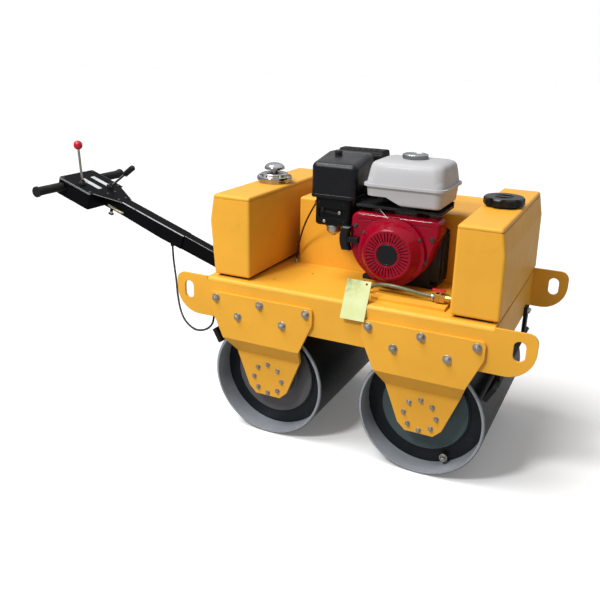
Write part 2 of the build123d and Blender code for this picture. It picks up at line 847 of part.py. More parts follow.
def fuel_tank():
    """Pressed fuel tank: two tapered shells joined at a flange, crowned on top and stepped below."""
    foot_ring = fuel_ring(fuel_inset, fuel_flange_z, fuel_wall_radius)
    lower = extrude(foot_ring, amount=fuel_lower_height, dir=(0, 0, -1), taper=fuel_lower_taper)
    lower = fillet(lower.edges().group_by(Axis.Z)[0], fuel_foot_radius)
    slope = [
        (fuel_left - fuel_inset, fuel_bottom - fuel_inset),
        (fuel_left + fuel_step_to, fuel_bottom - fuel_inset),
        (fuel_left + fuel_step_to, fuel_bottom),
        (fuel_left + fuel_step_from, fuel_bottom + fuel_step_height),
        (fuel_left - fuel_inset, fuel_bottom + fuel_step_height),
    ]
    lower -= side_prism(slope, fuel_near_y - fuel_inset, fuel_far_y + fuel_inset)
    upper = loft([
        fuel_ring(fuel_inset, fuel_shell_z, fuel_wall_radius),
        fuel_ring(fuel_wall_inset, fuel_shell_z + fuel_wall_height, fuel_wall_radius),
        fuel_ring(fuel_shoulder_inset, fuel_shell_z + fuel_shoulder_height, fuel_shoulder_radius),
        fuel_ring(fuel_crown_inset, fuel_top, fuel_crown_radius),
    ])
    neck = Plane.XY.offset(fuel_top) * Pos(fuel_cap_x, fuel_middle_y) * Circle(fuel_neck_diameter / 2)
    upper += extrude(neck, amount=fuel_neck_height)
    flange = extrude(fuel_ring(0, fuel_flange_z, fuel_corner_radius), amount=fuel_flange_height)
    return lower + upper + flange


def fuel_cap():
    """Low screw cap with a dished top."""
    radius = fuel_cap_diameter / 2
    dish = radius - fuel_cap_rim
    floor = fuel_cap_height - fuel_cap_dish
    profile = [
        (0, 0),
        (radius, 0),
        (radius, fuel_cap_height - fuel_cap_edge),
        (radius - fuel_cap_edge, fuel_cap_height),
        (dish, fuel_cap_height),
        (dish - fuel_cap_dish, floor),
        (0, floor),
    ]
    return turned(profile, fuel_cap_x, fuel_middle_y, fuel_neck_top)


def air_cleaner():
    """Air cleaner case whose lid rises towards the back, with its hand knob."""
    section = [
        (cleaner_near_y, cleaner_bottom),
        (cleaner_near_y, cleaner_bottom + cleaner_front_height),
        (cleaner_brow_y, cleaner_top),
        (cleaner_far_y, cleaner_top),
        (cleaner_far_y, cleaner_bottom),
    ]
    body = across_prism(section, cleaner_left, cleaner_right)
    raised_edges = [e for e in body.edges() if e.center().Z > cleaner_bottom + 1]
    body = fillet(raised_edges, cleaner_radius)
    knob_height = 4 * cleaner_knob_height
    knob = Cylinder(cleaner_knob_radius, knob_height)
    knob = fillet(knob.edges().sort_by(Axis.Z)[-1], cleaner_knob_height / 3)
    knob_top = cleaner_top + cleaner_knob_height
    return body + Pos(cleaner_knob_x, cleaner_knob_y, knob_top - knob_height / 2) * knob


def carburettor():
    """Intake case under the air cleaner, with the carburettor's bowl and the throttle cable's boss."""
    body = block(carb_left, carb_right, carb_near_y, carb_far_y, carb_bottom, cleaner_bottom)
    body = fillet(edges_along(body, Axis.Z), carb_radius)
    body = chamfer(body.edges().group_by(Axis.Z)[0], carb_bevel)
    margin = carb_recess_margin
    body -= block(carb_left + margin, carb_right - margin, carb_near_y - 1, carb_near_y + carb_recess_depth,
                  carb_bottom + carb_recess_low, carb_bottom + carb_recess_high)
    bowl = Cylinder(bowl_radius, bowl_height)
    bowl = chamfer(bowl.edges().sort_by(Axis.Z)[0], bowl_radius / 3)
    body += Pos(bowl_x, bowl_y, carb_bottom - bowl_height / 2) * bowl
    start = Vector(*throttle_route()[0])
    direction = (Vector(*throttle_route()[1]) - start).normalized()
    root = start - direction * throttle_boss_length
    return body + rod_between(tuple(root), tuple(start), throttle_boss_radius)


def muffler():
    """Muffler box with louvres along its top, on a foot that stands on the belt guard."""
    box = block(muffler_left, muffler_right, muffler_near_y, muffler_far_y, muffler_bottom, muffler_top)
    box = fillet(edges_along(box, Axis.X), muffler_radius)
    middle_y = (muffler_near_y + muffler_far_y) / 2
    span = muffler_right - muffler_left - 2 * muffler_foot_inset
    pitch = span / (muffler_louvres - 1)
    louvre = Box(muffler_louvre_width, muffler_louvre_length, 2 * muffler_louvre_depth)
    first = muffler_left + muffler_foot_inset
    box -= [Pos(first + pitch * n, middle_y, muffler_top) * louvre for n in range(muffler_louvres)]
    half = muffler_foot_thickness / 2
    last = muffler_right - muffler_foot_inset
    return box + block(first, last, middle_y - half, middle_y + half, guard_top, muffler_bottom + half)


def exhaust_pipe():
    """Pipe from the head's far face across the guard and up into the muffler."""
    start_y = (crankcase_near_y + crankcase_far_y) / 2 + fin_half_width - head_inset
    end_y = (muffler_near_y + muffler_far_y) / 2
    z = crank_z + exhaust_rise
    corners = [(exhaust_x, start_y, z), (exhaust_x, end_y, z), (exhaust_x, end_y, muffler_bottom)]
    path = FilletPolyline(*corners, radius=exhaust_bend)
    return sweep(Plane(origin=path @ 0, z_dir=path % 0) * Circle(exhaust_diameter / 2), path)


def water_valve():
    """Brass fitting and ball valve low on the front tank's inner face."""
    body_end = front_tank_back - fitting_length
    body_x = body_end - valve_body / 2
    side = valve_body * valve_slimness
    middle_x = front_tank_back - fitting_length / 2
    fitting = Pos(middle_x, valve_y, valve_z) * Rot(0, 90, 0) * Cylinder(fitting_radius, fitting_length)
    nut = extrude(RegularPolygon(fitting_nut_radius, 6), amount=fitting_nut_length)
    fitting += Pos(front_tank_back - fitting_nut_length, valve_y, valve_z) * Rot(0, 90, 0) * nut
    body = Pos(body_x, valve_y, valve_z) * Box(valve_body, side, side)
    half = valve_handle_width / 2
    low = valve_z + valve_handle_rise
    handle = block(body_end - valve_body - valve_handle_overhang, body_end, valve_y - half, valve_y + half,
                   low, low + valve_handle_thickness)
    handle = fillet(edges_along(handle, Axis.Z), half / 2)
    stem = extrude(Pos(body_x, valve_y, valve_z) * Circle(valve_stem_radius), amount=valve_handle_rise + 1)
    return fitting + body + stem + handle


def hose_route():
    end_x = front_tank_back - fitting_length - valve_body
    return [
        (52, -229, deck_top + 8.6),
        (69, -233.5, deck_top + 25),
        (93, -239, deck_top + 36.5),
        (124, -243.5, deck_top + 42),
        (165, -245, deck_top + 41),
        (209, -243, deck_top + 34.5),
        (end_x - 35, valve_y, valve_z),
        (end_x, valve_y, valve_z),
    ]


def hose_grommet():
    """Slanted rubber sleeve where the hose leaves the deck."""
    start = Vector(*hose_route()[0])
    direction = (Vector(*hose_route()[1]) - start).normalized()
    radius = hose_diameter / 2 + hose_sleeve_wall
    sleeve = rod_between(tuple(start - direction * hose_sleeve_length), tuple(start), radius)
    reach = hose_sleeve_length + radius
    around = block(-reach, reach, -reach, reach, 0, reach)
    return sleeve & (Pos(start.X, start.Y, deck_top) * around)


def throttle_route():
    return [
        (carb_left - 7, -148, cleaner_bottom - 20),
        (carb_left - 22, -140, cleaner_bottom - 43),
        (-207, -125, 797),
        (-231, -105, 763),
        (-256, -83, 722),
        (-276, -63, 678),
        (-292, -47, 637),
        (-302, -36, 604),
        (-302, -36, deck_top),
    ]


def control_cable_route():
    return [
        (-884, -12, cable_start_z),
        (-884, -12, 516),
        (-867, -28, 470),
        (-844, -50, 424),
        (-822, -76, 376),
        (-788, -110, 331),
        (-744, -146, 304),
        (-693, -178, 296),
        (-648, -208, 301),
        (-609, -231, 313),
        (-566, -255, 334),
        (-530, -276, 362),
        (-509, -286, 394),
        (-509, -286, cable_gland_bottom),
    ]


def cable_gland():
    half = cable_socket_width / 2
    top = cable_gland_bottom + cable_socket_height
    back = -cross_member_x - cable_socket_reach
    return block(back, -cross_member_x, cable_socket_y - half, cable_socket_y + half, cable_gland_bottom, top)


def hang_tag():
    """Blank card tag tied to the hose, leaning on the deck's edge."""
    card = Box(tag_width, tag_thickness, tag_height)
    card -= Pos(tag_hole_side, 0, tag_hole_up) * Rot(90, 0, 0) * Cylinder(tag_hole_radius, 4 * tag_thickness)
    return Pos(tag_x, -pan_half_width + tag_inset, deck_top + tag_rise) * Rot(-tag_lean, 0, 0) * card


def handle_frame():
    """Where the handle's own axes lie: x towards the deck along the arm, z square to it."""
    return Pos(pivot_x, 0, pivot_z) * Rot(0, arm_slope, 0)


def handle_clevis():
    """Two cheeks on the rear cross member, a web behind the arm's eye and a stop under the arm."""
    inner = arm_lower_width / 2 + clevis_side_gap
    outer = inner + clevis_plate
    stop_top = arm_bottom_at(stop_end) - stop_gap
    clevis = block(pivot_x + clevis_reach + clevis_web_gap, -cross_member_x, -inner, inner,
                   pivot_z - clevis_reach, pivot_z + clevis_reach)
    for side in (-1, 1):
        y0, y1 = sorted((side * inner, side * outer))
        clevis += block(pivot_x, -cross_member_x, y0, y1, pivot_z - clevis_reach, pivot_z + clevis_reach)
        clevis += bar_y(pivot_x, pivot_z, clevis_reach, y0, y1)
        clevis += handle_frame() * block(-stop_end, 0, y0, y1, stop_top - stop_depth, 0)
    clevis += handle_frame() * block(-stop_end, -stop_start, -outer, outer, stop_top - stop_depth, stop_top)
    return clevis - bar_y(pivot_x, pivot_z, pivot_pin_diameter / 2, -outer - 1, outer + 1)


def handle_pin():
    half = arm_lower_width / 2 + clevis_side_gap + clevis_plate + pin_overhang
    return bar_y(pivot_x, pivot_z, pivot_pin_diameter / 2, -half, half)


def arm_bottom_at(distance):
    """Underside of the arm, deepest where the two sections meet the belly."""
    if distance <= arm_belly_at:
        share = distance / arm_belly_at
        return -(arm_half_height + (arm_belly - arm_half_height) * share)
    share = (distance - arm_belly_at) / (arm_end_at - arm_belly_at)
    return -(arm_belly - (arm_belly - arm_half_height) * share)


def arm_lower():
    """Lower arm with its eye on the pivot pin."""
    half = arm_lower_width / 2
    outline = [
        (0, arm_half_height),
        (-arm_split_at, arm_half_height),
        (-arm_split_at, arm_bottom_at(arm_split_at)),
        (0, -arm_half_height),
    ]
    arm = side_prism(outline, -half, half) + bar_y(0, 0, arm_half_height, -half, half)
    arm -= bar_y(0, 0, pivot_pin_diameter / 2 + pivot_clearance, -half - 1, half + 1)
    return handle_frame() * arm


def arm_upper():
    """Upper arm, cut down near the box where the panel's tail lies on it."""
    half = arm_upper_width / 2
    outline = [
        (-arm_split_at, arm_half_height),
        (-panel_tail_start, arm_half_height),
        (-panel_tail_start, panel_top - panel_thickness),
        (-control_box_start, panel_top - panel_thickness),
        (-control_box_start, -arm_half_height),
        (-arm_end_at, -arm_half_height),
        (-arm_belly_at, -arm_belly),
        (-arm_split_at, arm_bottom_at(arm_split_at)),
    ]
    arm = side_prism(outline, -half, half)
    arm = fillet(edges_along(arm, Axis.X), arm_edge_radius)
    gland = Rot(0, -arm_slope, 0) * Cylinder(cable_gland_radius, 2 * cable_gland_length)
    arm += Pos(-cable_gland_at, cable_gland_y, arm_bottom_at(cable_gland_at)) * gland
    return handle_frame() * arm


def control_box():
    box_top = panel_top - panel_thickness
    box = block(-control_box_end, -control_box_start, -control_box_half_width, control_box_half_width,
                control_box_bottom, box_top)
    box = fillet(edges_along(box, Axis.Z), control_box_wall_radius)
    reach = control_box_half_width + 1
    box -= bar_y(-handlebar_at, handlebar_up, handlebar_diameter / 2, -reach, reach)
    return handle_frame() * box


def control_panel():
    """Cover plate of the box, with a tail that narrows down onto the arm."""
    half = control_box_half_width
    low = panel_top - panel_thickness
    panel = block(-control_box_end, -control_box_start, -half, half, low, panel_top)
    panel = fillet(edges_along(panel, Axis.Z).sort_by(Axis.X)[:2], control_box_wall_radius)
    corners = [
        (-control_box_start, -panel_tail_root_half, low),
        (-panel_tail_start, -panel_tail_half, low),
        (-panel_tail_start, panel_tail_half, low),
        (-control_box_start, panel_tail_root_half, low),
    ]
    tail = make_face(Polyline(*corners, close=True))
    return handle_frame() * (panel + extrude(tail, amount=panel_thickness, dir=(0, 0, 1)))


def handlebar():
    half = handlebar_half_width
    return handle_frame() * bar_y(-handlebar_at, handlebar_up, handlebar_diameter / 2, -half, half)


def grips():
    """Sleeve grips with a closed, flanged outer end."""
    bar_half = handlebar_half_width
    outer = bar_half + grip_end_cover
    sleeves = []
    for side in (-1, 1):
        y0, y1 = sorted((side * (outer - grip_length), side * outer))
        f0, f1 = sorted((side * (outer - grip_flange_width), side * outer))
        sleeve = bar_y(-handlebar_at, handlebar_up, grip_diameter / 2, y0, y1)
        sleeve += bar_y(-handlebar_at, handlebar_up, grip_flange_diameter / 2, f0, f1)
        sleeve -= bar_y(-handlebar_at, handlebar_up, handlebar_diameter / 2, -bar_half, bar_half)
        sleeves.append(sleeve)
    return handle_frame() * Compound(sleeves)


def rod_between(start, end, radius):
    direction = Vector(*end) - Vector(*start)
    return extrude(Plane(origin=start, z_dir=direction) * Circle(radius), amount=direction.length)


def raised(start, end):
    """Point inside a lever's boot where its bare rod begins, clear of the panel."""
    direction = (Vector(*end) - Vector(*start)).normalized()
    return tuple(Vector(*start) + direction * (lever_boot_height * 0.7))


def drive_lever():
    """Travel lever: bare rod with a round knob."""
    start = (-drive_lever_at, drive_lever_y, panel_top)
    end = (-drive_lever_at - drive_lever_lean, drive_lever_y, panel_top + drive_lever_rise)
    boot = Pos(*start) * Pos(0, 0, lever_boot_height / 2) * Cylinder(lever_boot_radius, lever_boot_height)
    return handle_frame() * (rod_between(raised(start, end), end, lever_diameter / 2) + boot)


def lever_end(at, y, lean, rise):
    return Vector(-at - lean, y, panel_top + rise)


def drive_knob():
    """Round knob with a flat foot and a parting band, socketed on the lever's end."""
    radius = drive_knob_diameter / 2
    foot = drive_knob_flat
    low = math.sqrt(radius ** 2 - foot ** 2)
    high = low + drive_knob_band
    half = math.sqrt(0.5) * radius
    wide = radius * math.cos(math.pi / 8)
    slim = radius * math.sin(math.pi / 8)
    rod = lever_diameter / 2
    mid = math.atan2(low, foot) / 2
    edges = [
        Line((0, drive_knob_socket), (rod, drive_knob_socket)),
        Line((rod, drive_knob_socket), (rod, 0)),
        Line((rod, 0), (foot, 0)),
        ThreePointArc((foot, 0), (radius * math.cos(mid), low - radius * math.sin(mid)), (radius, low)),
        Line((radius, low), (radius, high)),
        ThreePointArc((radius, high), (wide, high + slim), (half, high + half)),
        ThreePointArc((half, high + half), (slim, high + wide), (0, high + radius)),
        Line((0, high + radius), (0, drive_knob_socket)),
    ]
    ball = revolve(Plane.XZ * make_face(edges), Axis.Z, clean=False)
    start = Vector(-drive_lever_at, drive_lever_y, panel_top)
    end = lever_end(drive_lever_at, drive_lever_y, drive_lever_lean, drive_lever_rise)
    direction = (end - start).normalized()
    return handle_frame() * Plane(origin=end - direction * drive_knob_socket, z_dir=direction).location * ball


def speed_lever():
    start = (-speed_lever_at, speed_lever_y, panel_top)
    end = tuple(lever_end(speed_lever_at, speed_lever_y, speed_lever_lean, speed_lever_rise))
    boot = Pos(*start) * Pos(0, 0, lever_boot_height / 2) * Cylinder(lever_boot_radius, lever_boot_height)
    return handle_frame() * (rod_between(raised(start, end), end, lever_diameter / 2) + boot)


def speed_knob():
    start = Vector(-speed_lever_at, speed_lever_y, panel_top)
    end = lever_end(speed_lever_at, speed_lever_y, speed_lever_lean, speed_lever_rise)
    direction = (end - start).normalized()
    tip = end + direction * speed_knob_cover
    base = tip - direction * speed_knob_length
    knob = rod_between(tuple(base), tuple(tip), speed_knob_diameter / 2)
    knob = chamfer(knob.edges().filter_by(GeomType.CIRCLE), speed_knob_bevel)
    return handle_frame() * (knob - rod_between(tuple(start), tuple(end), lever_diameter / 2))


front_axle = wheelbase / 2
rear_axle = -wheelbase / 2
corners = {
    "rear_right": (rear_axle, -1),
    "rear_left": (rear_axle, 1),
    "front_right": (front_axle, -1),
    "front_left": (front_axle, 1),
}

pieces = {
    "deck": deck(),
    "side_plate_right": side_plate(-1),
    "side_plate_left": side_plate(1),
    "cross_members": Compound([cross_member(end) for end in (-1, 1)]),
    "scrapers": Compound([scraper(end) for end in (-1, 1)]),
    "hub_housings": Compound([hub_housing(*place) for place in corners.values()]),
    "rear_tank": rear_tank(),
    "rear_tank_cap": filler_cap(),
    "front_tank": front_tank(),
    "front_tank_cap": water_cap(),
    "tank_pads": tank_pads(),
    "belt_guard": belt_guard(),
    "engine_base": engine_base(),
    "crankcase": crankcase(),
    "cylinder_head": cylinder_head(),
    "fan_cover": fan_cover(),
    "recoil_cover": recoil_cover(),
    "recoil_grip": recoil_grip(),
    "fuel_tank": fuel_tank(),
    "fuel_cap": fuel_cap(),
    "air_cleaner": air_cleaner(),
    "carburettor": carburettor(),
    "muffler": muffler() + exhaust_pipe(),
    "water_valve": water_valve(),
    "cable_glands": Compound([hose_grommet(), cable_gland()]),
    "hang_tag": hang_tag(),
    "handle_clevis": handle_clevis(),
    "handle_pin": handle_pin(),
    "arm_lower": arm_lower(),
    "arm_upper": arm_upper(),
    "control_box": control_box(),
    "control_panel": control_panel(),
    "handlebar": handlebar(),
    "grips": grips(),
    "control_levers": Compound([drive_lever(), speed_lever()]),
    "drive_knob": drive_knob(),
    "speed_knob": speed_knob(),
}
for name, place in corners.items():
    pieces["drum_bracket_" + name] = drum_bracket(*place)
for name, axle_x in (("rear", rear_axle), ("front", front_axle)):
    pieces["drum_shell_" + name] = drum_shell(axle_x)
    pieces["drum_webs_" + name] = drum_webs(axle_x)
    pieces["drum_axle_" + name] = drum_axle(axle_x)

cords = {
    "water_hose": cord(hose_route(), hose_diameter, "water_hose"),
    "throttle_cable": cord(throttle_route(), throttle_diameter, "throttle_cable"),
    "control_cable": cord(control_cable_route(), cable_diameter, "control_cable"),
}

boxes = [piece.bounding_box() for piece in pieces.values()]
rear_end = min(box.min.X for box in boxes)
front_end = max(box.max.X for box in boxes)
middle_x = (rear_end + front_end) / 2
print("middle of the length at x =", round(middle_x, 4))

os.makedirs("parts", exist_ok=True)
for name, piece in {**pieces, **cords}.items():
    export_step(Pos(-middle_x, 0, 0) * piece, "parts/" + name + ".step")
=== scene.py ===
# Looks of the walk-behind road roller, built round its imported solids.
# Positions are written in millimetres in the machine's own layout: x ahead from midway between the drums,
# y to the left, z from the ground. place() turns them into metres in the model's frame.
import bmesh
import bpy
import json
import math
import random
from mathutils import Matrix, Vector


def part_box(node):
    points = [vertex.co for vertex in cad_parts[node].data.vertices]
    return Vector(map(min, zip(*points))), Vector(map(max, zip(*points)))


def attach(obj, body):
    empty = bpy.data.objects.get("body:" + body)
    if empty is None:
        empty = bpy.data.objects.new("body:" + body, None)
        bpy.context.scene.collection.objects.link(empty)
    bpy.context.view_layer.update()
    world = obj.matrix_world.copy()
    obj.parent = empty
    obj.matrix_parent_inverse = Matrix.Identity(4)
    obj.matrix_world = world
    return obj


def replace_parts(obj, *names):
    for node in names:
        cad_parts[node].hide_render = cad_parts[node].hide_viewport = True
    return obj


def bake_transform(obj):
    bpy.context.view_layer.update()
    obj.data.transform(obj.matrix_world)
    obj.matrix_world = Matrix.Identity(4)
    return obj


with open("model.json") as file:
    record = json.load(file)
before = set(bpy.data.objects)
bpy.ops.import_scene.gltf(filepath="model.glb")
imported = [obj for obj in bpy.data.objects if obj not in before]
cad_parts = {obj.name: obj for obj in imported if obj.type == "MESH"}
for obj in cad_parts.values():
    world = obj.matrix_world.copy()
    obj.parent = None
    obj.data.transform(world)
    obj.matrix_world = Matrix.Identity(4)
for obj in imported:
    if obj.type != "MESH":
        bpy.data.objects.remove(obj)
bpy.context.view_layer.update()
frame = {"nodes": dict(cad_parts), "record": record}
nodes = frame["nodes"]
joints = {joint["name"]: joint for joint in frame["record"]["behaviour"]["joints"]}
rear_axle = joints["rear_drum_turn"]["pos_m"][0]
front_axle = joints["front_drum_turn"]["pos_m"][0]
middle = (rear_axle + front_axle) / 2
axle_z = joints["rear_drum_turn"]["pos_m"][2]
pivot = Vector(joints["handle_fold"]["pos_m"])
arm_slope = math.radians(19.1)
MM = 0.001
towards_front, towards_back = (1, 0, 0), (-1, 0, 0)
towards_left, towards_right = (0, 1, 0), (0, -1, 0)
upwards, downwards = (0, 0, 1), (0, 0, -1)
near_face = Matrix.Rotation(math.pi / 2, 4, "X")
chance = random.Random(7)


def place(x, y, z):
    """Point of the machine's layout, in metres in the model's frame."""
    return Vector((middle + x * MM, y * MM, z * MM))


def route(points):
    return [place(*point) for point in points]


def circle_points(x, y, radius, count, start=0.0):
    """Points spaced evenly on a circle, the first at the start angle in degrees."""
    angles = [math.radians(start + 360 * n / count) for n in range(count)]
    return [(x + radius * math.cos(angle), y + radius * math.sin(angle)) for angle in angles]


# Camera at the photograph's angle
eye = Vector((middle + 0.82931, -2.31127, 1.34137))
yaw, pitch, roll = math.radians(26.1), math.radians(19.75), math.radians(1.11)
focal_share = 710.8 / 600
sensor_width = 36
back = Vector((math.sin(yaw) * math.cos(pitch), -math.cos(yaw) * math.cos(pitch), math.sin(pitch)))
right = Vector((math.cos(yaw), math.sin(yaw), 0))
up = back.cross(right)
camera_right = right * math.cos(roll) + up * math.sin(roll)
camera_up = up * math.cos(roll) - right * math.sin(roll)
camera_data = bpy.data.cameras.new("camera")
camera_data.lens = sensor_width * focal_share
camera = bpy.data.objects.new("camera", camera_data)
bpy.context.scene.collection.objects.link(camera)
camera.matrix_world = Matrix((camera_right, camera_up, back)).transposed().to_4x4()
camera.location = eye
bpy.context.scene.camera = camera


# Mesh making
def facing(point, axis, turn=0.0):
    """Placement whose z axis points along axis."""
    tilt = Vector(axis).to_track_quat("Z", "Y").to_matrix().to_4x4()
    return Matrix.Translation(point) @ tilt @ Matrix.Rotation(turn, 4, "Z")


def lathe(mesh, profile, where, segments=24):
    """Adds a shape turned about the placement's z axis from (radius, height) points, in metres."""
    rings = []
    for radius, height in profile:
        around = circle_points(0, 0, radius, segments) if radius > 0 else [(0, 0)]
        rings.append([mesh.verts.new(where @ Vector((x, y, height))) for x, y in around])
    for low, high in zip(rings, rings[1:]):
        for n in range(segments):
            after = (n + 1) % segments
            corners = [low[n % len(low)], low[after % len(low)], high[after % len(high)], high[n % len(high)]]
            unique = list(dict.fromkeys(corners))
            if len(unique) > 2:
                mesh.faces.new(unique)


def turned(mesh, profile, where, segments):
    """Adds a turned shape whose profile is in millimetres."""
    lathe(mesh, [(radius * MM, height * MM) for radius, height in profile], where, segments)


def stitch(mesh, rings):
    """Joins rings of equal point counts and closes both ends."""
    count = len(rings[0])
    for a, b in zip(rings, rings[1:]):
        for n in range(count):
            mesh.faces.new((a[n], a[(n + 1) % count], b[(n + 1) % count], b[n]))
    mesh.faces.new(list(reversed(rings[0])))
    mesh.faces.new(rings[-1])


def loft(mesh, outlines, where):
    """Adds a closed shell through (outline, height) rings."""
    rings = []
    for outline, height in outlines:
        rings.append([mesh.verts.new(where @ Vector((x, y, height))) for x, y in outline])
    stitch(mesh, rings)


def rounded(width, height, radius, steps=5):
    """Outline of a rounded rectangle about the origin."""
    points = []
    corners = ((1, 1, 0), (-1, 1, 90), (-1, -1, 180), (1, -1, 270))
    for sx, sy, start in corners:
        for n in range(steps + 1):
            angle = math.radians(start + 90 * n / steps)
            x = sx * (width / 2 - radius) + radius * math.cos(angle)
            points.append((x, sy * (height / 2 - radius) + radius * math.sin(angle)))
    return points


def plate(mesh, width, height, radius, low, high, where, bevel=0.0, steps=5):
    """Adds a plate with rounded corners and a small chamfer on top, all in millimetres."""
    levels = [(low, 0.0), (high - bevel, 0.0), (high, bevel)] if bevel else [(low, 0.0), (high, 0.0)]
    outline = rounded(width * MM, height * MM, radius * MM, steps)
    rings = []
    for level, inset in levels:
        pulls = [1 - inset * MM / math.hypot(x, y) for x, y in outline]
        rings.append(([(x * pull, y * pull) for (x, y), pull in zip(outline, pulls)], level * MM))
    loft(mesh, rings, where)


def rib_ring(mesh, where, radius, count, size, low, high, bevel):
    """Adds upright ribs about the placement's z axis; size is a rib's width, depth and corner radius."""
    for n in range(count):
        turn = Matrix.Rotation(2 * math.pi * n / count, 4, "Z")
        plate(mesh, *size, low, high, where @ turn @ Matrix.Translation((radius * MM, 0, 0)), bevel, 2)


def tube(mesh, points, radius, sides=14):
    """Adds a round tube along points in metres; the radius may be a list with one for each point."""
    radii = radius if isinstance(radius, list) else [radius] * len(points)
    side = None
    rings = []
    for n, point in enumerate(points):
        ahead = (points[min(n + 1, len(points) - 1)] - points[max(n - 1, 0)]).normalized()
        side = side or ahead.orthogonal().normalized()
        side = (side - ahead * side.dot(ahead)).normalized()
        other = ahead.cross(side)
        around = circle_points(0, 0, radii[n], sides)
        rings.append([mesh.verts.new(point + side * x + other * y) for x, y in around])
    stitch(mesh, rings)


def finish_piece(name, mesh, material, body, smooth=35.0):
    """Turns a bmesh into an object that rides on a body."""
    bmesh.ops.recalc_face_normals(mesh, faces=mesh.faces[:])
    data = bpy.data.meshes.new(name)
    mesh.to_mesh(data)
    mesh.free()
    data.shade_smooth()
    data.set_sharp_from_angle(angle=math.radians(smooth))
    piece = bpy.data.objects.new(name, data)
    bpy.context.scene.collection.objects.link(piece)
    data.materials.append(material)
    if body:
        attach(piece, body)
    return piece


def hex_bolt(mesh, point, axis, flats, head):
    """Adds a chamfered hexagon head with its shank's end on a round washer, sizes in metres."""
    where = facing(point, axis, chance.uniform(0, math.pi / 3))
    base = flats * 0.11
    top = base + head
    tip = base + head * 1.12
    rim = flats * 0.8
    corner = flats / math.sqrt(3)
    shank = flats * 0.3
    lathe(mesh, [(0, 0), (rim, 0), (rim, base * 0.7), (flats * 0.76, base), (0, base)], where, 28)
    chamfer = base + head * 0.78
    lathe(mesh, [(0, base), (corner, base), (corner, chamfer), (corner * 0.86, top), (0, top)], where, 6)
    lathe(mesh, [(0, top), (shank, top), (shank * 0.9, tip), (0, tip)], where, 14)


def screw(mesh, point, axis, radius):
    """Adds a pan-head screw with a round recess."""
    where = facing(point, axis, chance.uniform(0, math.pi))
    shares = ((0, 0), (1, 0), (1, 0.25), (0.8, 0.5), (0.42, 0.6), (0.3, 0.25), (0, 0.25))
    lathe(mesh, [(radius * across, radius * rise) for across, rise in shares], where, 16)


def bolt_piece(name, material, size, spots):
    """Piece of like bolts on the chassis: size is flats and head, spots are points with axes."""
    mesh = bmesh.new()
    for point, axis in spots:
        hex_bolt(mesh, point, axis, *size)
    return finish_piece(name, mesh, material, "chassis")


# Materials
class Shader:
    """Node tree of one material with a Principled surface."""

    def __init__(self, name):
        self.material = bpy.data.materials.new(name)
        self.material.use_nodes = True
        self.tree = self.material.node_tree
        self.surface = self.tree.nodes["Principled BSDF"]
        self.coords = self.add("ShaderNodeTexCoord").outputs["Object"]

    def add(self, kind, settings=None, **inputs):
        """New node; inputs go by name, or by number as _0, _1 and so on."""
        node = self.tree.nodes.new(kind)
        for key, value in (settings or {}).items():
            setattr(node, key, value)
        for key, value in inputs.items():
            socket = node.inputs[int(key[1:])] if key[0] == "_" else node.inputs[key.replace("_", " ")]
            self.set(socket, value)
        return node

    def set(self, socket, value):
        if isinstance(value, bpy.types.NodeSocket):
            self.tree.links.new(value, socket)
        else:
            socket.default_value = value

    def noise(self, scale, detail=4.0, rough=0.55, stretch=None):
        """Cloud noise in the piece's own axes, about 0.5."""
        vector = self.coords
        if stretch:
            vector = self.add("ShaderNodeMapping", Vector=self.coords, Scale=stretch).outputs[0]
        node = self.add("ShaderNodeTexNoise", Vector=vector, Scale=scale, Detail=detail, Roughness=rough)
        return node.outputs["Fac"]

    def span(self, value, low, high, to_low=0.0, to_high=1.0):
        """Value mapped from low..high to another range, and held there."""
        node = self.add("ShaderNodeMapRange", _0=value, _1=low, _2=high, _3=to_low, _4=to_high)
        return node.outputs[0]

    def math(self, operation, a, b):
        return self.add("ShaderNodeMath", {"operation": operation}, _0=a, _1=b).outputs[0]

    def dot(self, a, b):
        return self.add("ShaderNodeVectorMath", {"operation": "DOT_PRODUCT"}, _0=a, _1=b).outputs["Value"]

    def mix(self, share, a, b):
        node = self.add("ShaderNodeMix", {"data_type": "RGBA"})
        self.set(node.inputs[0], share)
        for socket, value in ((node.inputs[6], a), (node.inputs[7], b)):
            self.set(socket, value if isinstance(value, bpy.types.NodeSocket) else (*value, 1.0))
        return node.outputs[2]

    def axis(self, letter):
        node = self.add("ShaderNodeSeparateXYZ", _0=self.coords)
        return node.outputs["XYZ".index(letter)]

    def edge(self, radius, samples=4):
        """Mask of sharp edges, and the rounded normal that makes them catch light."""
        bevel = self.add("ShaderNodeBevel", {"samples": samples}, Radius=radius)
        geometry = self.add("ShaderNodeNewGeometry")
        agreement = self.dot(bevel.outputs[0], geometry.outputs["Normal"])
        return self.span(agreement, 0.99, 0.86), bevel.outputs[0]

    def highlight_ridge(self, normal, upward):
        """Mask of the long edges between a piece's upper face and its sides, in the piece's own axes, where a
        pale line is painted as a highlight.
        """
        turn = {"vector_type": "NORMAL", "convert_from": "WORLD", "convert_to": "OBJECT"}
        own = self.add("ShaderNodeVectorTransform", turn, Vector=normal).outputs[0]
        rise = self.dot(own, upward)
        side = self.math("ABSOLUTE", self.add("ShaderNodeSeparateXYZ", _0=own).outputs["Y"], 0.0)
        return self.span(self.math("MULTIPLY", rise, side), 0.12, 0.32)

    def bump(self, height, strength, distance, normal=None):
        node = self.add("ShaderNodeBump", Height=height, Strength=strength, Distance=distance)
        if normal is not None:
            self.set(node.inputs["Normal"], normal)
        return node.outputs[0]

    def done(self, colour, roughness, normal=None, **values):
        """Sets the surface and gives the finished material."""
        self.set(self.surface.inputs["Base Color"], colour)
        self.set(self.surface.inputs["Roughness"], roughness)
        if normal is not None:
            self.set(self.surface.inputs["Normal"], normal)
        for key, value in values.items():
            self.set(self.surface.inputs[key.replace("_", " ")], value)
        return self.material


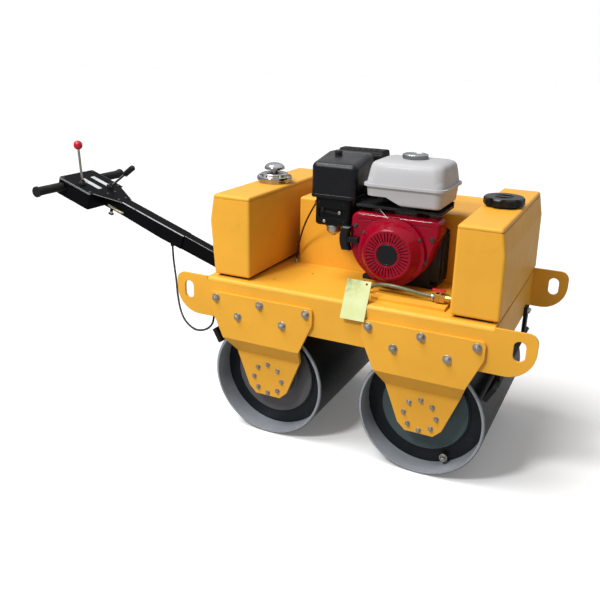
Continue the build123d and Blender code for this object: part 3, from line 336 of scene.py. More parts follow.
def shade(colour, factor):
    return tuple(min(1.0, c * factor) for c in colour)


def painted(name, colour, rough, edge_mark, edge_radius=0.0025, peel=0.12, tone=0.07, coat=0.05, gloss=0.3,
            dirt=(0.16, 0.10, 0.05), dirt_share=0.18, edge_share=0.55, edge_from=0.42, upward=None):
    """Sprayed paint: soft cloudiness, orange-peel bump, thin chipping on edges and a little grime; a pale
    edge colour is also a painted highlight, and with upward given it runs unbroken along the upper long edges
    as a painted highlight.
    """
    s = Shader(name)
    cloud = s.noise(3.2, 5.0)
    body = s.mix(s.span(cloud, 0.3, 0.7), shade(colour, 1 - tone), shade(colour, 1 + tone))
    grime = s.span(s.noise(11.0, 8.0, 0.7), 0.60, 0.82, 0.0, dirt_share)
    body = s.mix(grime, body, dirt)
    # Edge colour on the edges: chipping, and where that colour is pale, a painted highlight; with upward
    # given, the mask follows the upper long edges as a painted highlight.
    mask, normal = s.edge(edge_radius)
    if upward:
        mask = s.highlight_ridge(normal, upward)
    chips_and_highlight = s.math("MULTIPLY", mask, s.span(s.noise(60.0, 6.0, 0.65), edge_from, edge_from + 0.2))
    body = s.mix(s.math("MULTIPLY", chips_and_highlight, edge_share), body, edge_mark)
    roughness = s.span(s.noise(18.0, 6.0), 0.3, 0.75, rough - 0.06, rough + 0.1)
    bump = s.bump(s.noise(420.0, 2.0), peel, 0.0006, normal)
    return s.done(body, roughness, bump, Coat_Weight=coat, Coat_Roughness=0.08, Specular_IOR_Level=gloss)


def bare_metal(name, colour, rough, spread=0.12, stretch=(1, 1, 1), tone=0.18, bump=0.12):
    """Bare or plated metal with fine directional scratches."""
    s = Shader(name)
    patch = s.noise(14.0, 6.0)
    body = s.mix(s.span(patch, 0.3, 0.7), shade(colour, 1 - tone), shade(colour, 1 + tone))
    fine = s.noise(90.0, 8.0, 0.65, stretch)
    roughness = s.span(fine, 0.25, 0.75, max(0.04, rough - spread), rough + spread)
    normal = s.edge(0.001)[1]
    return s.done(body, roughness, s.bump(fine, bump, 0.0004, normal), Metallic=1.0)


def moulded(name, colour, rough, grain=700.0, depth=0.25, tone=0.2, pale=None, gloss=0.2):
    """Moulded plastic or rubber with a fine pebble grain and paler rubbed edges."""
    s = Shader(name)
    body = s.mix(s.span(s.noise(9.0, 6.0), 0.3, 0.7), shade(colour, 1 - tone), shade(colour, 1 + tone))
    mask, normal = s.edge(0.0015)
    rubbed = s.math("MULTIPLY", mask, s.span(s.noise(45.0, 5.0), 0.4, 0.7, 0.1, 0.5))
    body = s.mix(rubbed, body, pale or tuple(c + 0.06 for c in colour))
    roughness = s.span(s.noise(25.0, 5.0), 0.3, 0.7, rough - 0.08, rough + 0.1)
    bump = s.bump(s.noise(grain, 2.0), depth, 0.0004, normal)
    return s.done(body, roughness, bump, Specular_IOR_Level=gloss)


def cast(name, colour, rough):
    """Sand-cast alloy: dull, pitted and slightly oily."""
    s = Shader(name)
    body = s.mix(s.span(s.noise(16.0, 7.0, 0.65), 0.32, 0.7), shade(colour, 0.7), shade(colour, 1.25))
    mask, normal = s.edge(0.0015)
    body = s.mix(s.math("MULTIPLY", mask, 0.35), body, shade(colour, 2.0))
    roughness = s.span(s.noise(30.0, 5.0), 0.3, 0.7, rough - 0.1, rough + 0.12)
    return s.done(body, roughness, s.bump(s.noise(320.0, 3.0), 0.35, 0.0006, normal), Metallic=0.75)


def drum_steel(name, axle, shade_outside, inside, split):
    """Rolled drum steel: one tone beyond the split radius and one within, rims pale from wear and rolling
    marks; the dark tone beyond the split is painted shade (the outer face of a shell, the ring round a disc),
    and the pale tone within a shell is painted light.
    """
    s = Shader(name)
    cloud = s.span(s.noise(5.0, 7.0, 0.6), 0.3, 0.7)
    # Beyond the split radius a painted-shade tone; within it a shell's painted-light tone or a disc's own
    # tone.
    shaded_outer = s.mix(cloud, shade(shade_outside, 0.7), shade(shade_outside, 1.25))
    hollow = s.mix(cloud, shade(inside, 0.8), shade(inside, 1.15))
    x = s.math("SUBTRACT", s.axis("X"), axle)
    z = s.math("SUBTRACT", s.axis("Z"), axle_z)
    radius = s.math("SQRT", s.math("ADD", s.math("MULTIPLY", x, x), s.math("MULTIPLY", z, z)), 0.0)
    body = s.mix(s.span(radius, split + 0.001, split - 0.001), shaded_outer, hollow)
    side = s.math("ABSOLUTE", s.axis("Y"), 0.0)
    rim = s.math("MULTIPLY", s.span(radius, 0.2005, 0.2030), s.span(side, 0.2925, 0.2990))
    edge_mark = s.math("MULTIPLY", rim, s.span(s.noise(34.0, 7.0, 0.65), 0.25, 0.6, 0.25, 1.0))
    body = s.mix(edge_mark, body, (0.30, 0.32, 0.35))
    dust = s.span(s.noise(22.0, 8.0, 0.7), 0.55, 0.8, 0.0, 0.16)
    body = s.mix(dust, body, (0.10, 0.098, 0.092))
    mask, normal = s.edge(0.002)
    body = s.mix(s.math("MULTIPLY", mask, 0.6), body, (0.34, 0.36, 0.39))
    marks = s.noise(60.0, 6.0, 0.6, (1.0, 6.0, 1.0))
    roughness = s.span(marks, 0.3, 0.7, 0.28, 0.46)
    bump = s.bump(marks, 0.18, 0.0006, normal)
    return s.done(body, roughness, bump, Metallic=0.3, Specular_IOR_Level=0.25)


yellow = painted("yellow_paint", (0.78, 0.383, 0.036), 0.42, (0.42, 0.26, 0.12), coat=0.02, gloss=0.2)
# Red paint: the pale pink edge colour is a painted highlight on the covers' edges, with a little chipping.
red = painted("red_paint", (0.26, 0.0008, 0.014), 0.24, (0.62, 0.14, 0.17), edge_radius=0.0015, peel=0.06,
              coat=0.25, gloss=0.05, dirt=(0.06, 0.004, 0.008), dirt_share=0.3)
grey = painted("grey_paint", (0.43, 0.425, 0.435), 0.40, (0.5, 0.5, 0.5), edge_radius=0.0015, peel=0.05,
               tone=0.03, coat=0.04, gloss=0.2, dirt_share=0.06)
# Black paint: the pale grey edge colour, unbroken along the handle's upper long edges, is a painted highlight
# with a little chipping.
black_paint = painted("black_paint", (0.0045, 0.0047, 0.0056), 0.30, (0.55, 0.55, 0.57), edge_radius=0.0045,
                      peel=0.10, tone=0.25, coat=0.02, gloss=0.012, dirt=(0.010, 0.010, 0.011), edge_share=0.9,
                      edge_from=0.24, upward=(math.sin(arm_slope), 0, math.cos(arm_slope)))
zinc = bare_metal("zinc_plate", (0.36, 0.35, 0.325), 0.42)
dark_screw = bare_metal("dark_screw", (0.09, 0.085, 0.085), 0.35)
brass = bare_metal("brass", (0.56, 0.35, 0.09), 0.34)
pale_brass = bare_metal("pale_brass", (0.50, 0.47, 0.30), 0.36)
chrome = bare_metal("chrome_plate", (0.38, 0.39, 0.41), 0.12, spread=0.06, tone=0.05, bump=0.03)
steel = bare_metal("machined_steel", (0.52, 0.52, 0.53), 0.30, stretch=(1, 1, 8))
cap_metal = bare_metal("cap_metal", (0.26, 0.265, 0.27), 0.40)
plastic = moulded("black_plastic", (0.004, 0.0045, 0.006), 0.30, gloss=0.26, pale=(0.018, 0.018, 0.019))
rubber = moulded("black_rubber", (0.008, 0.008, 0.008), 0.60, grain=500.0, depth=0.4)
gloss_red = moulded("red_plastic", (0.50, 0.010, 0.026), 0.2, grain=120.0, depth=0.03, tone=0.08,
                    pale=(0.6, 0.05, 0.06), gloss=0.4)
engine_black = cast("engine_black", (0.022, 0.022, 0.024), 0.5)
hot = painted("hot_steel", (0.006, 0.006, 0.006), 0.48, (0.10, 0.09, 0.085), peel=0.2, tone=0.3, gloss=0.06,
              dirt=(0.025, 0.023, 0.02))
cable_skin = moulded("cable_skin", (0.016, 0.016, 0.018), 0.45, grain=300.0, depth=0.2)
blank_strip = moulded("blank_strip", (0.62, 0.64, 0.66), 0.35, grain=200.0, depth=0.05, tone=0.05,
                      pale=(0.7, 0.7, 0.7))


def brass_valve():
    """Turned brass with a red dipped handle."""
    s = Shader("brass_valve")
    handle_bottom = 0.6261
    turned_brass = s.mix(s.span(s.noise(30.0, 6.0), 0.3, 0.7), (0.46, 0.27, 0.06), (0.66, 0.42, 0.12))
    dipped_red = s.mix(s.noise(40.0), (0.42, 0.01, 0.015), (0.55, 0.02, 0.03))
    is_handle = s.span(s.axis("Z"), handle_bottom - 0.0003, handle_bottom + 0.0003)
    body = s.mix(is_handle, turned_brass, dipped_red)
    normal = s.edge(0.001)[1]
    metal = s.math("SUBTRACT", 1.0, is_handle)
    roughness = s.span(s.noise(80.0), 0.3, 0.7, 0.22, 0.42)
    return s.done(body, roughness, s.bump(s.noise(250.0), 0.1, 0.0003, normal), Metallic=metal)


def intake_case():
    """Black moulded intake case; the bowl under it is bare alloy."""
    s = Shader("intake_case")
    bowl_depth = 0.0282
    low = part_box("carburettor")[0].z + bowl_depth
    black = s.mix(s.noise(12.0, 6.0), (0.003, 0.003, 0.0034), (0.008, 0.008, 0.009))
    bright = s.mix(s.noise(60.0, 6.0), (0.30, 0.30, 0.30), (0.55, 0.54, 0.52))
    is_bowl = s.span(s.axis("Z"), low + 0.0004, low - 0.0004)
    body = s.mix(is_bowl, black, bright)
    normal = s.edge(0.0012)[1]
    roughness = s.span(s.noise(40.0), 0.3, 0.7, 0.3, 0.5)
    bump = s.bump(s.noise(600.0), 0.2, 0.0004, normal)
    return s.done(body, roughness, bump, Metallic=is_bowl, Specular_IOR_Level=0.1)


def hose_skin():
    """Cloudy water hose, slightly see-through."""
    s = Shader("clear_hose")
    body = s.mix(s.span(s.noise(35.0, 5.0), 0.3, 0.7), (0.11, 0.12, 0.06), (0.19, 0.195, 0.11))
    roughness = s.span(s.noise(60.0), 0.3, 0.7, 0.22, 0.4)
    return s.done(body, roughness, s.bump(s.noise(200.0), 0.1, 0.0004), Transmission_Weight=0.15, IOR=1.45)


def card():
    """Plain card with paper fibres, soft stains and a green smudge near its upper corner."""
    s = Shader("paper_card")
    fibre = s.noise(260.0, 6.0, 0.7, (1, 1, 3))
    body = s.mix(s.span(s.noise(14.0, 5.0), 0.35, 0.7), (0.55, 0.60, 0.27), (0.64, 0.67, 0.37))
    body = s.mix(s.span(fibre, 0.45, 0.75, 0.0, 0.25), body, (0.44, 0.46, 0.23))
    low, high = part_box("hang_tag")
    reach = 0.06
    corner = s.math("MULTIPLY", s.span(s.axis("X"), low.x + reach, low.x),
                    s.span(s.axis("Z"), high.z - reach, high.z))
    smudge = s.math("MULTIPLY", corner, s.span(s.noise(70.0, 6.0), 0.35, 0.65))
    body = s.mix(smudge, body, (0.14, 0.19, 0.09))
    roughness = s.span(fibre, 0.3, 0.7, 0.6, 0.8)
    return s.done(body, roughness, s.bump(fibre, 0.15, 0.0003), Specular_IOR_Level=0.2)


# Materials of the solids; those not named here are yellow
node_materials = {
    "drum_axle_rear": steel, "drum_axle_front": steel, "handle_pin": zinc, "control_levers": chrome,
    "hub_housings": engine_black, "crankcase": engine_black, "cylinder_head": engine_black,
    "engine_base": yellow,
    "scrapers": rubber, "tank_pads": rubber, "cable_glands": rubber, "grips": rubber,
    "rear_tank_cap": chrome, "front_tank_cap": plastic, "air_cleaner": plastic, "carburettor": intake_case(),
    "recoil_grip": plastic, "speed_knob": plastic, "fan_cover": red, "recoil_cover": red, "fuel_tank": grey,
    "fuel_cap": cap_metal, "muffler": hot, "water_valve": brass_valve(), "drive_knob": gloss_red,
    "throttle_cable": cable_skin, "control_cable": cable_skin, "water_hose": hose_skin(), "hang_tag": card(),
}
# Drum tones: the near-black outer face and the dark ring round the disc are painted shade, the pale inside of
# a shell is painted light, and the front disc is a darker, teal copy of the rear disc's steel as painted
# shade.
drum_skin_shade, drum_inside_lit = (0.009, 0.012, 0.014), (0.40, 0.43, 0.47)
drum_ring_shade = (0.010, 0.013, 0.016)
rear_disc, front_disc_shade = (0.10, 0.097, 0.104), (0.060, 0.088, 0.094)
wall_radius, disc_radius = 0.2095, 0.149
for end_name, axle, disc in (("rear", rear_axle, rear_disc), ("front", front_axle, front_disc_shade)):
    shell_steel = drum_steel("drum_steel_" + end_name, axle, drum_skin_shade, drum_inside_lit, wall_radius)
    disc_steel = drum_steel("drum_disc_" + end_name, axle, drum_ring_shade, disc, disc_radius)
    node_materials["drum_shell_" + end_name] = shell_steel
    node_materials["drum_webs_" + end_name] = disc_steel
for name in ("handle_clevis", "arm_lower", "arm_upper", "control_box", "control_panel", "handlebar"):
    node_materials[name] = black_paint
for name, node in nodes.items():
    node.data.materials.clear()
    node.data.materials.append(node_materials.get(name, yellow))


# Cords, on the routes of their solids
def smooth_line(points):
    """Points along the NURBS curve whose control points are the route."""
    data = bpy.data.curves.new("route", "CURVE")
    data.dimensions = "3D"
    data.resolution_u = 10
    spline = data.splines.new("NURBS")
    spline.points.add(len(points) - 1)
    for target, point in zip(spline.points, points):
        target.co = (*point, 1.0)
    spline.order_u = 3
    spline.use_endpoint_u = True
    holder = bpy.data.objects.new("route", data)
    bpy.context.scene.collection.objects.link(holder)
    bpy.context.view_layer.update()
    mesh = bpy.data.meshes.new_from_object(holder)
    line = [v.co.copy() for v in mesh.vertices]
    bpy.data.objects.remove(holder)
    bpy.data.meshes.remove(mesh)
    bpy.data.curves.remove(data)
    return line


def cord_piece(name, points, diameter, material, body, node):
    """Smooth tube in place of a cord's solid."""
    line = smooth_line(route(points))
    mesh = bmesh.new()
    tube(mesh, line, diameter / 2)
    piece = finish_piece(name, mesh, material, body, 60)
    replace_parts(piece, node)
    return piece, line


hose_length, hose_diameter = 0.246, 0.013
hose_points = (
    (52, -229, 587.6), (69, -233.5, 604), (93, -239, 615.5), (124, -243.5, 621), (165, -245, 620),
    (209, -243, 613.5), (252, -240, 607), (287, -240, 607),
)
throttle_length, throttle_diameter = 0.323, 0.006
throttle_points = (
    (-172, -148, 846), (-187, -140, 823), (-207, -125, 797), (-231, -105, 763), (-256, -83, 722),
    (-276, -63, 678), (-292, -47, 637), (-302, -36, 604), (-302, -36, 579),
)
control_length, control_diameter = 0.672, 0.008
control_points = (
    (-884, -12, 555.3), (-884, -12, 516), (-867, -28, 470), (-844, -50, 424), (-822, -76, 376),
    (-788, -110, 331), (-744, -146, 304), (-693, -178, 296), (-648, -208, 301), (-609, -231, 313),
    (-566, -255, 334), (-530, -276, 362), (-509, -286, 394), (-509, -286, 432),
)
hose_line = cord_piece("hose_tube", hose_points, hose_diameter, node_materials["water_hose"],
                       "chassis", "water_hose")[1]
throttle_line = cord_piece("throttle_tube", throttle_points, throttle_diameter, cable_skin,
                           "chassis", "throttle_cable")[1]
control = cord_piece("control_tube", control_points, control_diameter, cable_skin,
                     None, "control_cable")[0]
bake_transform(control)

# Fasteners of the drum brackets; a bolt's size is its flats and head in metres
axle_offset, axle_height = 282.0, 212.5
ends = (("rear", -axle_offset), ("front", axle_offset))
bracket_face, hub_face = 353.0, 292.0
bracket_bolt, hub_bolt = (0.0185, 0.011), (0.0115, 0.0075)
bracket_bolt_spots = ((0, 511), (-172, 511), (172, 511), (-86, 455), (86, 455))
hub_bolt_circle, hub_bolt_count = 55.0, 8
for side_name, side in (("right", -1), ("left", 1)):
    outward = (0, side, 0)
    for end_name, axle in ends:
        mesh = bmesh.new()
        for dx, z in bracket_bolt_spots:
            hex_bolt(mesh, place(axle + dx, side * bracket_face, z), outward, *bracket_bolt)
        for x, z in circle_points(axle, axle_height, hub_bolt_circle, hub_bolt_count):
            hex_bolt(mesh, place(x, side * hub_face, z), outward, *hub_bolt)
        finish_piece("bracket_bolts_" + end_name + "_" + side_name, mesh, zinc, "chassis")

# Painted sealing beads in the gaps under the tank lids
bead_low, bead_high, bead_recess, bead_corner = 852.1, 854.9, 0.7, 9.0
lid_width = 644.0
mesh = bmesh.new()
for lid_back, lid_front in ((-478.0, -339.0), (353.0, 484.0)):
    bead_place = Matrix.Translation(place((lid_back + lid_front) / 2, 0, 0))
    bead_length = lid_front - lid_back - 2 * bead_recess
    bead_width = lid_width - 2 * bead_recess
    plate(mesh, bead_length, bead_width, bead_corner, bead_low, bead_high, bead_place, steps=4)
finish_piece("lid_beads", mesh, yellow, "chassis")

# Filling plugs in the drum ends
disc_face, plug_circle = 240.0, 180.0
plug_height, plug_bolt = 7.0, (0.017, 0.010)
plug_collar = [(0, 0), (14, 0), (14, 5), (12.5, plug_height), (0, plug_height)]
for (end_name, axle), angle in zip(ends, (75, -64)):
    x, z = circle_points(axle, axle_height, plug_circle, 1, angle)[0]
    mesh = bmesh.new()
    turned(mesh, plug_collar, facing(place(x, -disc_face, z), towards_right), 28)
    hex_bolt(mesh, place(x, -disc_face - plug_height, z), towards_right, *plug_bolt)
    finish_piece("drum_plug_" + end_name, mesh, zinc, end_name + "_drum")

# Plain disc in the middle of the starter, and the screws round the starter and fan cover
crank_x, crank_z = 121.0, 720.0
disc_profile = [(0, 0), (34.5, 0), (34.5, 1.4), (33.2, 2.6), (30.5, 2.6), (29.8, 2.0), (0, 2.3)]
mesh = bmesh.new()
turned(mesh, disc_profile, facing(place(crank_x, -248, crank_z), towards_right), 64)
finish_piece("recoil_disc", mesh, plastic, "chassis")
starter_bolt, starter_bolt_circle = (0.0085, 0.005), 107
fan_bolt = (0.010, 0.006)
mesh = bmesh.new()
for x, z in circle_points(crank_x, crank_z, starter_bolt_circle, 3, 30):
    hex_bolt(mesh, place(x, -214, z), towards_right, *starter_bolt)
for x, z in ((-8, 790), (250, 776), (232, 700)):
    hex_bolt(mesh, place(x, -200, z), towards_right, *fan_bolt)
finish_piece("engine_screws", mesh, dark_screw, "chassis")

# Ribbed dark side cover of the crankcase, behind the fan cover; it fills the shaded gap next to the front
# tank, a dark piece put where there is only shade.
cover_bolt = (0.009, 0.005)
cover_place = facing(place(232, -85, 696), towards_front)
mesh = bmesh.new()
plate(mesh, 74, 184, 16, -2, 30, cover_place, 3)
for across in (-24, -8, 8, 24):
    plate(mesh, 5, 146, 2, 29, 38, cover_place @ Matrix.Translation((across * MM, 0, 0)), 1, 2)
for y in (-112, -58):
    for z in (616, 776):
        hex_bolt(mesh, place(262, y, z), towards_front, *cover_bolt)
finish_piece("shade_filling_crankcase_cover", mesh, engine_black, "chassis")

# Ribs round the fuel cap
fuel_x, fuel_y = 150, -115
mesh = bmesh.new()
rib_ring(mesh, facing(place(fuel_x, fuel_y, 1010.5), upwards), 39.8, 30, (2.6, 3.4, 1.1), 2, 12.5, 0.6)
finish_piece("fuel_cap_ribs", mesh, cap_metal, "chassis")

# Pressed upper half of the fuel tank, with firm shoulders under its crown: inset, height and corner radius
fuel_length, fuel_width = 270, 230
crown_rings = (
    (7, 935, 36), (9, 950, 36), (12.5, 972, 35), (16, 988, 34), (19.5, 996, 32), (25, 1001.5, 30),
    (34, 1005, 28), (52, 1007.8, 26), (80, 1009.6, 24), (105, 1010, 9),
)
shell = []
for inset, z, corner in crown_rings:
    length, width = fuel_length - 2 * inset, fuel_width - 2 * inset
    shell.append((rounded(length * MM, width * MM, corner * MM, 8), z * MM))
mesh = bmesh.new()
loft(mesh, shell, Matrix.Translation(place(fuel_x, fuel_y, 0)))
finish_piece("fuel_tank_crown", mesh, grey, "chassis", 60)

# Air cleaner trim: rim band and knob ribs
mesh = bmesh.new()
plate(mesh, 166, 174, 22, 4, 12, Matrix.Translation(place(-99, -105, 866)), 1)
finish_piece("cleaner_rim", mesh, plastic, "chassis")
mesh = bmesh.new()
rib_ring(mesh, Matrix.Translation(place(-126, -88, 1003)), 12, 16, (2.8, 3.2, 1.0), 0, 7.5, 0.5)
finish_piece("cleaner_knob_ribs", mesh, dark_screw, "chassis")

# Intake case: choke lever, screws, and the collar and bolt of its bowl
case_face = -182
lever = Matrix.Translation(place(-104, -177, 816)) @ near_face @ Matrix.Rotation(math.radians(-7), 4, "Z")
mesh = bmesh.new()
plate(mesh, 74, 7, 3.2, 0, 3, lever, 0.6, 3)
plate(mesh, 12, 18, 5, 3, 9, lever @ Matrix.Translation((-33 * MM, 4 * MM, 0)), 1, 4)
for x, z in ((-60, 787), (-60, 848), (-148, 848)):
    screw(mesh, place(x, case_face, z), towards_right, 0.0052)
finish_piece("choke_lever", mesh, plastic, "chassis")
bowl_x, bowl_y = -105, -154
bowl_collar = [(24.1, 0), (27, 0), (27, 4), (25.5, 5), (24.1, 5), (24.1, 0)]
mesh = bmesh.new()
screw(mesh, place(-76, -180, 819.5), towards_right, 0.006)
screw(mesh, place(-129.6, case_face, 787), towards_right, 0.0056)
turned(mesh, bowl_collar, facing(place(bowl_x, bowl_y, 766), upwards), 40)
finish_piece("intake_hardware", mesh, zinc, "chassis")
bowl_bolt, oil_plug = (0.012, 0.007), (0.017, 0.009)
mesh = bmesh.new()
hex_bolt(mesh, place(bowl_x, bowl_y, 744), downwards, *bowl_bolt)
hex_bolt(mesh, place(-4, -101, 649), towards_back, *oil_plug)
finish_piece("drain_plugs", mesh, brass, "chassis")

# Governor link over the fan cover
link_radius, link_bolt = 0.0009, (0.007, 0.004)
link_points = (
    (62, -189, 856), (68, -196, 856), (78, -206, 850), (114, -216, 823), (120, -216, 818), (121, -212, 816),
)
mesh = bmesh.new()
tube(mesh, route(link_points), link_radius, 10)
hex_bolt(mesh, place(121, -214, 816), towards_right, *link_bolt)
finish_piece("governor_link", mesh, zinc, "chassis")

# Fasteners of the engine base, scrapers and belt guard
base_spots = [(place(x, -182, 589), upwards) for x in (24, 306)]
bolt_piece("base_bolts", zinc, (0.015, 0.009), base_spots)
scraper_spots = [(place(end * 510, y, 455), (end, 0, 0)) for end in (-1, 1) for y in (-220, -200, 200, 220)]
bolt_piece("scraper_bolts", zinc, (0.012, 0.0075), scraper_spots)
guard_start, guard_pitch, guard_screw = -282, 152.25, 0.006
mesh = bmesh.new()
for n in range(5):
    x = guard_start + guard_pitch * n
    for z in (600, 804):
        screw(mesh, place(x, 320, z), towards_left, guard_screw)
    screw(mesh, place(x, 300, 824), upwards, guard_screw)
finish_piece("guard_screws", mesh, zinc, "chassis")

# Plated filler breather on the rear tank: neck, collar, ring, stem and mushroom knob
filler_x, filler_y, tank_top = -408.5, -16, 866
collar_top, collar_bolt_circle = 23.5, 54.5
filler_profile = [
    (0, 0), (56, 0), (56, 8), (57, 9), (63, 9.5), (64.5, 12), (64.5, 20), (63, 22.5), (60, collar_top),
    (51, 24), (50, 25), (50, 31), (48, 33), (43, 34.5), (30, 35.5), (17, 36), (15.5, 37), (15, 39), (15, 45),
    (16, 46.5), (33, 46.5), (36.5, 48), (37, 50.5), (36.6, 54), (35, 58), (31.5, 62), (26, 65.8), (19, 68.3),
    (10, 69.6), (0, 70),
]
mesh = bmesh.new()
turned(mesh, filler_profile, Matrix.Translation(place(filler_x, filler_y, tank_top)), 56)
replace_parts(finish_piece("filler_breather", mesh, chrome, "chassis"), "rear_tank_cap")
collar_ring = circle_points(filler_x, filler_y, collar_bolt_circle, 6, 20)
collar_spots = [(place(x, y, tank_top + collar_top), upwards) for x, y in collar_ring]
bolt_piece("filler_bolts", zinc, (0.0085, 0.005), collar_spots)

# Fasteners of the muffler and of the handle's pin
muffler_spots = [(place(x, 85, z), towards_left) for x in (-138, -33) for z in (905, 980)]
bolt_piece("muffler_bolts", dark_screw, (0.009, 0.0055), muffler_spots)
pin_x, pin_z, pin_bolt = -545, pivot.z / MM, (0.012, 0.006)
pin_nut = [(12.6, 0), (19, 0), (19, 4), (17, 5.5), (12.6, 5.5), (12.6, 0)]
mesh = bmesh.new()
for side in (-1, 1):
    outward = (0, side, 0)
    turned(mesh, pin_nut, facing(place(pin_x, side * 33, pin_z), outward), 6)
    hex_bolt(mesh, place(pin_x, side * 39, pin_z), outward, *pin_bolt)
finish_piece("pin_nuts", mesh, zinc, "chassis")

# Ribbed grips in place of the plain sleeves
handle_axes = Matrix.Translation(pivot) @ Matrix.Rotation(arm_slope, 4, "Y")
handle_turn = handle_axes.to_3x3().to_4x4()


def on_handle(s, y, h):
    """Point on the handle: s back along the arm from the pivot, y across, h square to the arm."""
    return handle_axes @ Vector((-s * MM, y * MM, h * MM))


rib_start, rib_pitch, rib_count = 121, 8.6, 14
grip_profile = [(0, 116), (16.5, 116), (17.6, 118)]
for n in range(rib_count):
    y = rib_start + n * rib_pitch
    grip_profile += [(17.9, y), (17.9, y + 5.0), (16.7, y + 6.0), (16.7, y + 7.6)]
grip_profile += [(17.9, 243), (21.6, 247), (21.9, 249), (21.9, 254), (20.5, 256), (0, 256)]
mesh = bmesh.new()
for side in (-1, 1):
    turned(mesh, grip_profile, facing(on_handle(863, 0, 1), (0, side, 0)), 40)
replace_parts(finish_piece("grip_sleeves", mesh, rubber, "handle"), "grips")

# Cable fitting and hook on the arm's near side, under the panel; the barrel goes by places and radii
barrel = (
    (600, 2.5), (604, 2.5), (604.5, 4.0), (622, 4.0), (622.5, 5.5), (630, 5.5), (630.5, 4.0), (662, 4.0),
    (662.5, 2.0), (672, 2.0),
)
small_screw, panel_screw = 0.0045, 0.005
mesh = bmesh.new()
plate(mesh, 86, 7, 3, 0, 3, Matrix.Translation(on_handle(640, -28, -14)) @ handle_turn @ near_face, 0.6, 3)
tube(mesh, [on_handle(s, -36, -14) for s, radius in barrel], [radius * MM for s, radius in barrel], 18)
for s in (604, 676):
    screw(mesh, on_handle(s, -31, -14), towards_right, small_screw)
finish_piece("arm_fitting", mesh, pale_brass, "handle")
hook = Matrix.Translation(on_handle(657, -31, -27)) @ handle_turn @ near_face
mesh = bmesh.new()
plate(mesh, 13, 36, 4, 0, 4, hook, 0.8, 3)
plate(mesh, 20, 9, 3, 0, 12, hook @ Matrix.Translation((4 * MM, -13.5 * MM, 0)), 0.8, 3)
finish_piece("arm_hook", mesh, black_paint, "handle")

# Panel strips, screws and lever bellows
panel_top = 27.6
panel_up = handle_axes.to_3x3() @ Vector(upwards)
mesh = bmesh.new()
for y in (-17, 42):
    plate(mesh, 100, 23, 3, 0, 0.9, Matrix.Translation(on_handle(795.5, y, panel_top)) @ handle_turn, 0.3, 3)
finish_piece("panel_strips", mesh, blank_strip, "handle")
mesh = bmesh.new()
for rows, half_width, radius in (((738, 884), 88, panel_screw), ((640, 700), 22, small_screw)):
    for s in rows:
        for y in (-half_width, half_width):
            screw(mesh, on_handle(s, y, panel_top), panel_up, radius)
finish_piece("panel_screws", mesh, dark_screw, "handle")
fold_count, fold_height, lean_share = 4, 4, 0.35
bellows_profile = [(0, 0), (17, 0)]
for n in range(fold_count):
    r, h = 16.5 - 2.6 * n, fold_height * n
    bellows_profile += [(r, h + 1), (r, h + 3), (r - 2.2, h + 3.6)]
bellows_profile += [(6.4, 18), (5.4, 19), (0, 19)]
mesh = bmesh.new()
for s, y, lean, rise in ((810, -55, 57, 143.7), (743, 42, -90, 128)):
    foot = on_handle(s, y, panel_top)
    lever_axis = (on_handle(s + lean, y, panel_top + rise) - foot).normalized()
    turned(mesh, bellows_profile, facing(foot, panel_up.lerp(lever_axis, lean_share)), 28)
finish_piece("lever_bellows", mesh, rubber, "handle")

# Hose clamp, and ferrules at both ends of the throttle cable
clamp_offset, clamp_middle = 0.014, 0.0045
clamp_profile = [(6.6, 0), (7.8, 0), (8.2, 1), (8.2, 8), (7.8, 9), (6.6, 9), (6.6, 0)]
along = (hose_line[-1] - hose_line[-4]).normalized()
clamp = facing(hose_line[-1] - along * clamp_offset, along)
mesh = bmesh.new()
turned(mesh, clamp_profile, clamp, 32)
plate(mesh, 10, 8, 1, 7.6, 14, clamp @ Matrix.Translation((0, 0, clamp_middle)) @ near_face, 1, 2)
finish_piece("hose_clamp", mesh, zinc, "chassis")
ferrule_profile = [(0, 0), (6.6, 0), (6.6, 7), (4.5, 10), (3.15, 16), (0, 16)]
mesh = bmesh.new()
for line in (throttle_line, throttle_line[::-1]):
    turned(mesh, ferrule_profile, facing(line[0], (line[2] - line[0]).normalized()), 18)
finish_piece("throttle_ferrules", mesh, zinc, "chassis")

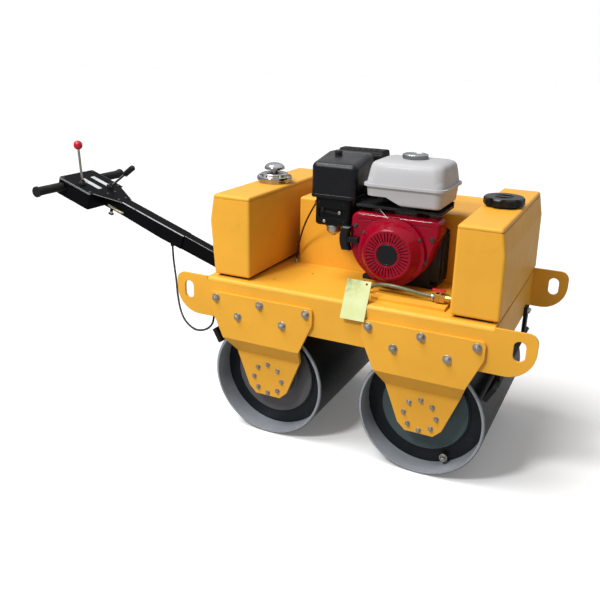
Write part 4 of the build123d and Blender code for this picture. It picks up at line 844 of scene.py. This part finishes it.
# Floor: white to the camera, greyer in the light it throws back on the machine
floor_reach, floor_glow = 30.0, 0.12
floor_corners = [(x * floor_reach, y * floor_reach, 0) for x, y in ((-1, -1), (1, -1), (1, 1), (-1, 1))]
floor_mesh = bpy.data.meshes.new("floor")
floor_mesh.from_pydata(floor_corners, [], [(0, 1, 2, 3)])
floor = bpy.data.objects.new("floor", floor_mesh)
bpy.context.scene.collection.objects.link(floor)
floor_shader = Shader("floor")
pale = floor_shader.mix(floor_shader.noise(0.8), (0.90, 0.90, 0.90), (0.93, 0.93, 0.93))
ray = floor_shader.add("ShaderNodeLightPath").outputs
bounce = floor_shader.math("ADD", ray["Is Diffuse Ray"], ray["Is Glossy Ray"])
pale = floor_shader.mix(bounce, pale, (0.34, 0.335, 0.33))
floor_mesh.materials.append(floor_shader.done(pale, 0.9, Specular_IOR_Level=0.0, Emission_Color=(1, 1, 1, 1),
                                             Emission_Strength=floor_glow))


# Studio lamps
def lamp(name, kind, strength, towards, where=(0, 0, 5)):
    """Studio lamp; towards is the direction its light travels."""
    data = bpy.data.lights.new(name, kind)
    data.energy = strength
    holder = bpy.data.objects.new(name, data)
    bpy.context.scene.collection.objects.link(holder)
    holder.rotation_euler = Vector(towards).to_track_quat("-Z", "Y").to_euler()
    holder.location = where
    return data


overhead = lamp("overhead", "SUN", 2.4, (0.35, 0.20, -0.90))
overhead.angle = math.radians(30)
key_from = Vector((middle - 0.9, -2.6, 3.0))
key_target = Vector((middle, 0, 0.5))
key = lamp("key", "AREA", 82, key_target - key_from, key_from)
key.size = 0.55

# Sky: white behind the object, soft fill on it, and in reflections dark low down and bright overhead
fill, white = 0.34, 1.0
mirror_heights, mirror_strengths = (-0.1, 0.9), (0.15, 1.3)
sky = bpy.data.worlds.new("sky")
bpy.context.scene.world = sky
sky.use_nodes = True
sky_nodes = sky.node_tree.nodes
light_path = sky_nodes.new("ShaderNodeLightPath")
direction = sky_nodes.new("ShaderNodeTexCoord")
height = sky_nodes.new("ShaderNodeSeparateXYZ")
mirrored = sky_nodes.new("ShaderNodeMapRange")
for socket, value in zip(mirrored.inputs[1:5], mirror_heights + mirror_strengths):
    socket.default_value = value
lit, seen = [sky_nodes.new("ShaderNodeMix") for n in range(2)]
lit.inputs[2].default_value = fill
seen.inputs[3].default_value = white
background = sky_nodes["Background"]
background.inputs[0].default_value = (1, 1, 1, 1)
for source, target in (
    (direction.outputs["Generated"], height.inputs[0]), (height.outputs["Z"], mirrored.inputs[0]),
    (light_path.outputs["Is Glossy Ray"], lit.inputs[0]), (mirrored.outputs[0], lit.inputs[3]),
    (light_path.outputs["Is Camera Ray"], seen.inputs[0]), (lit.outputs[0], seen.inputs[2]),
    (seen.outputs[0], background.inputs[1]),
):
    sky.node_tree.links.new(source, target)
bpy.context.scene.view_settings.view_transform = "Standard"
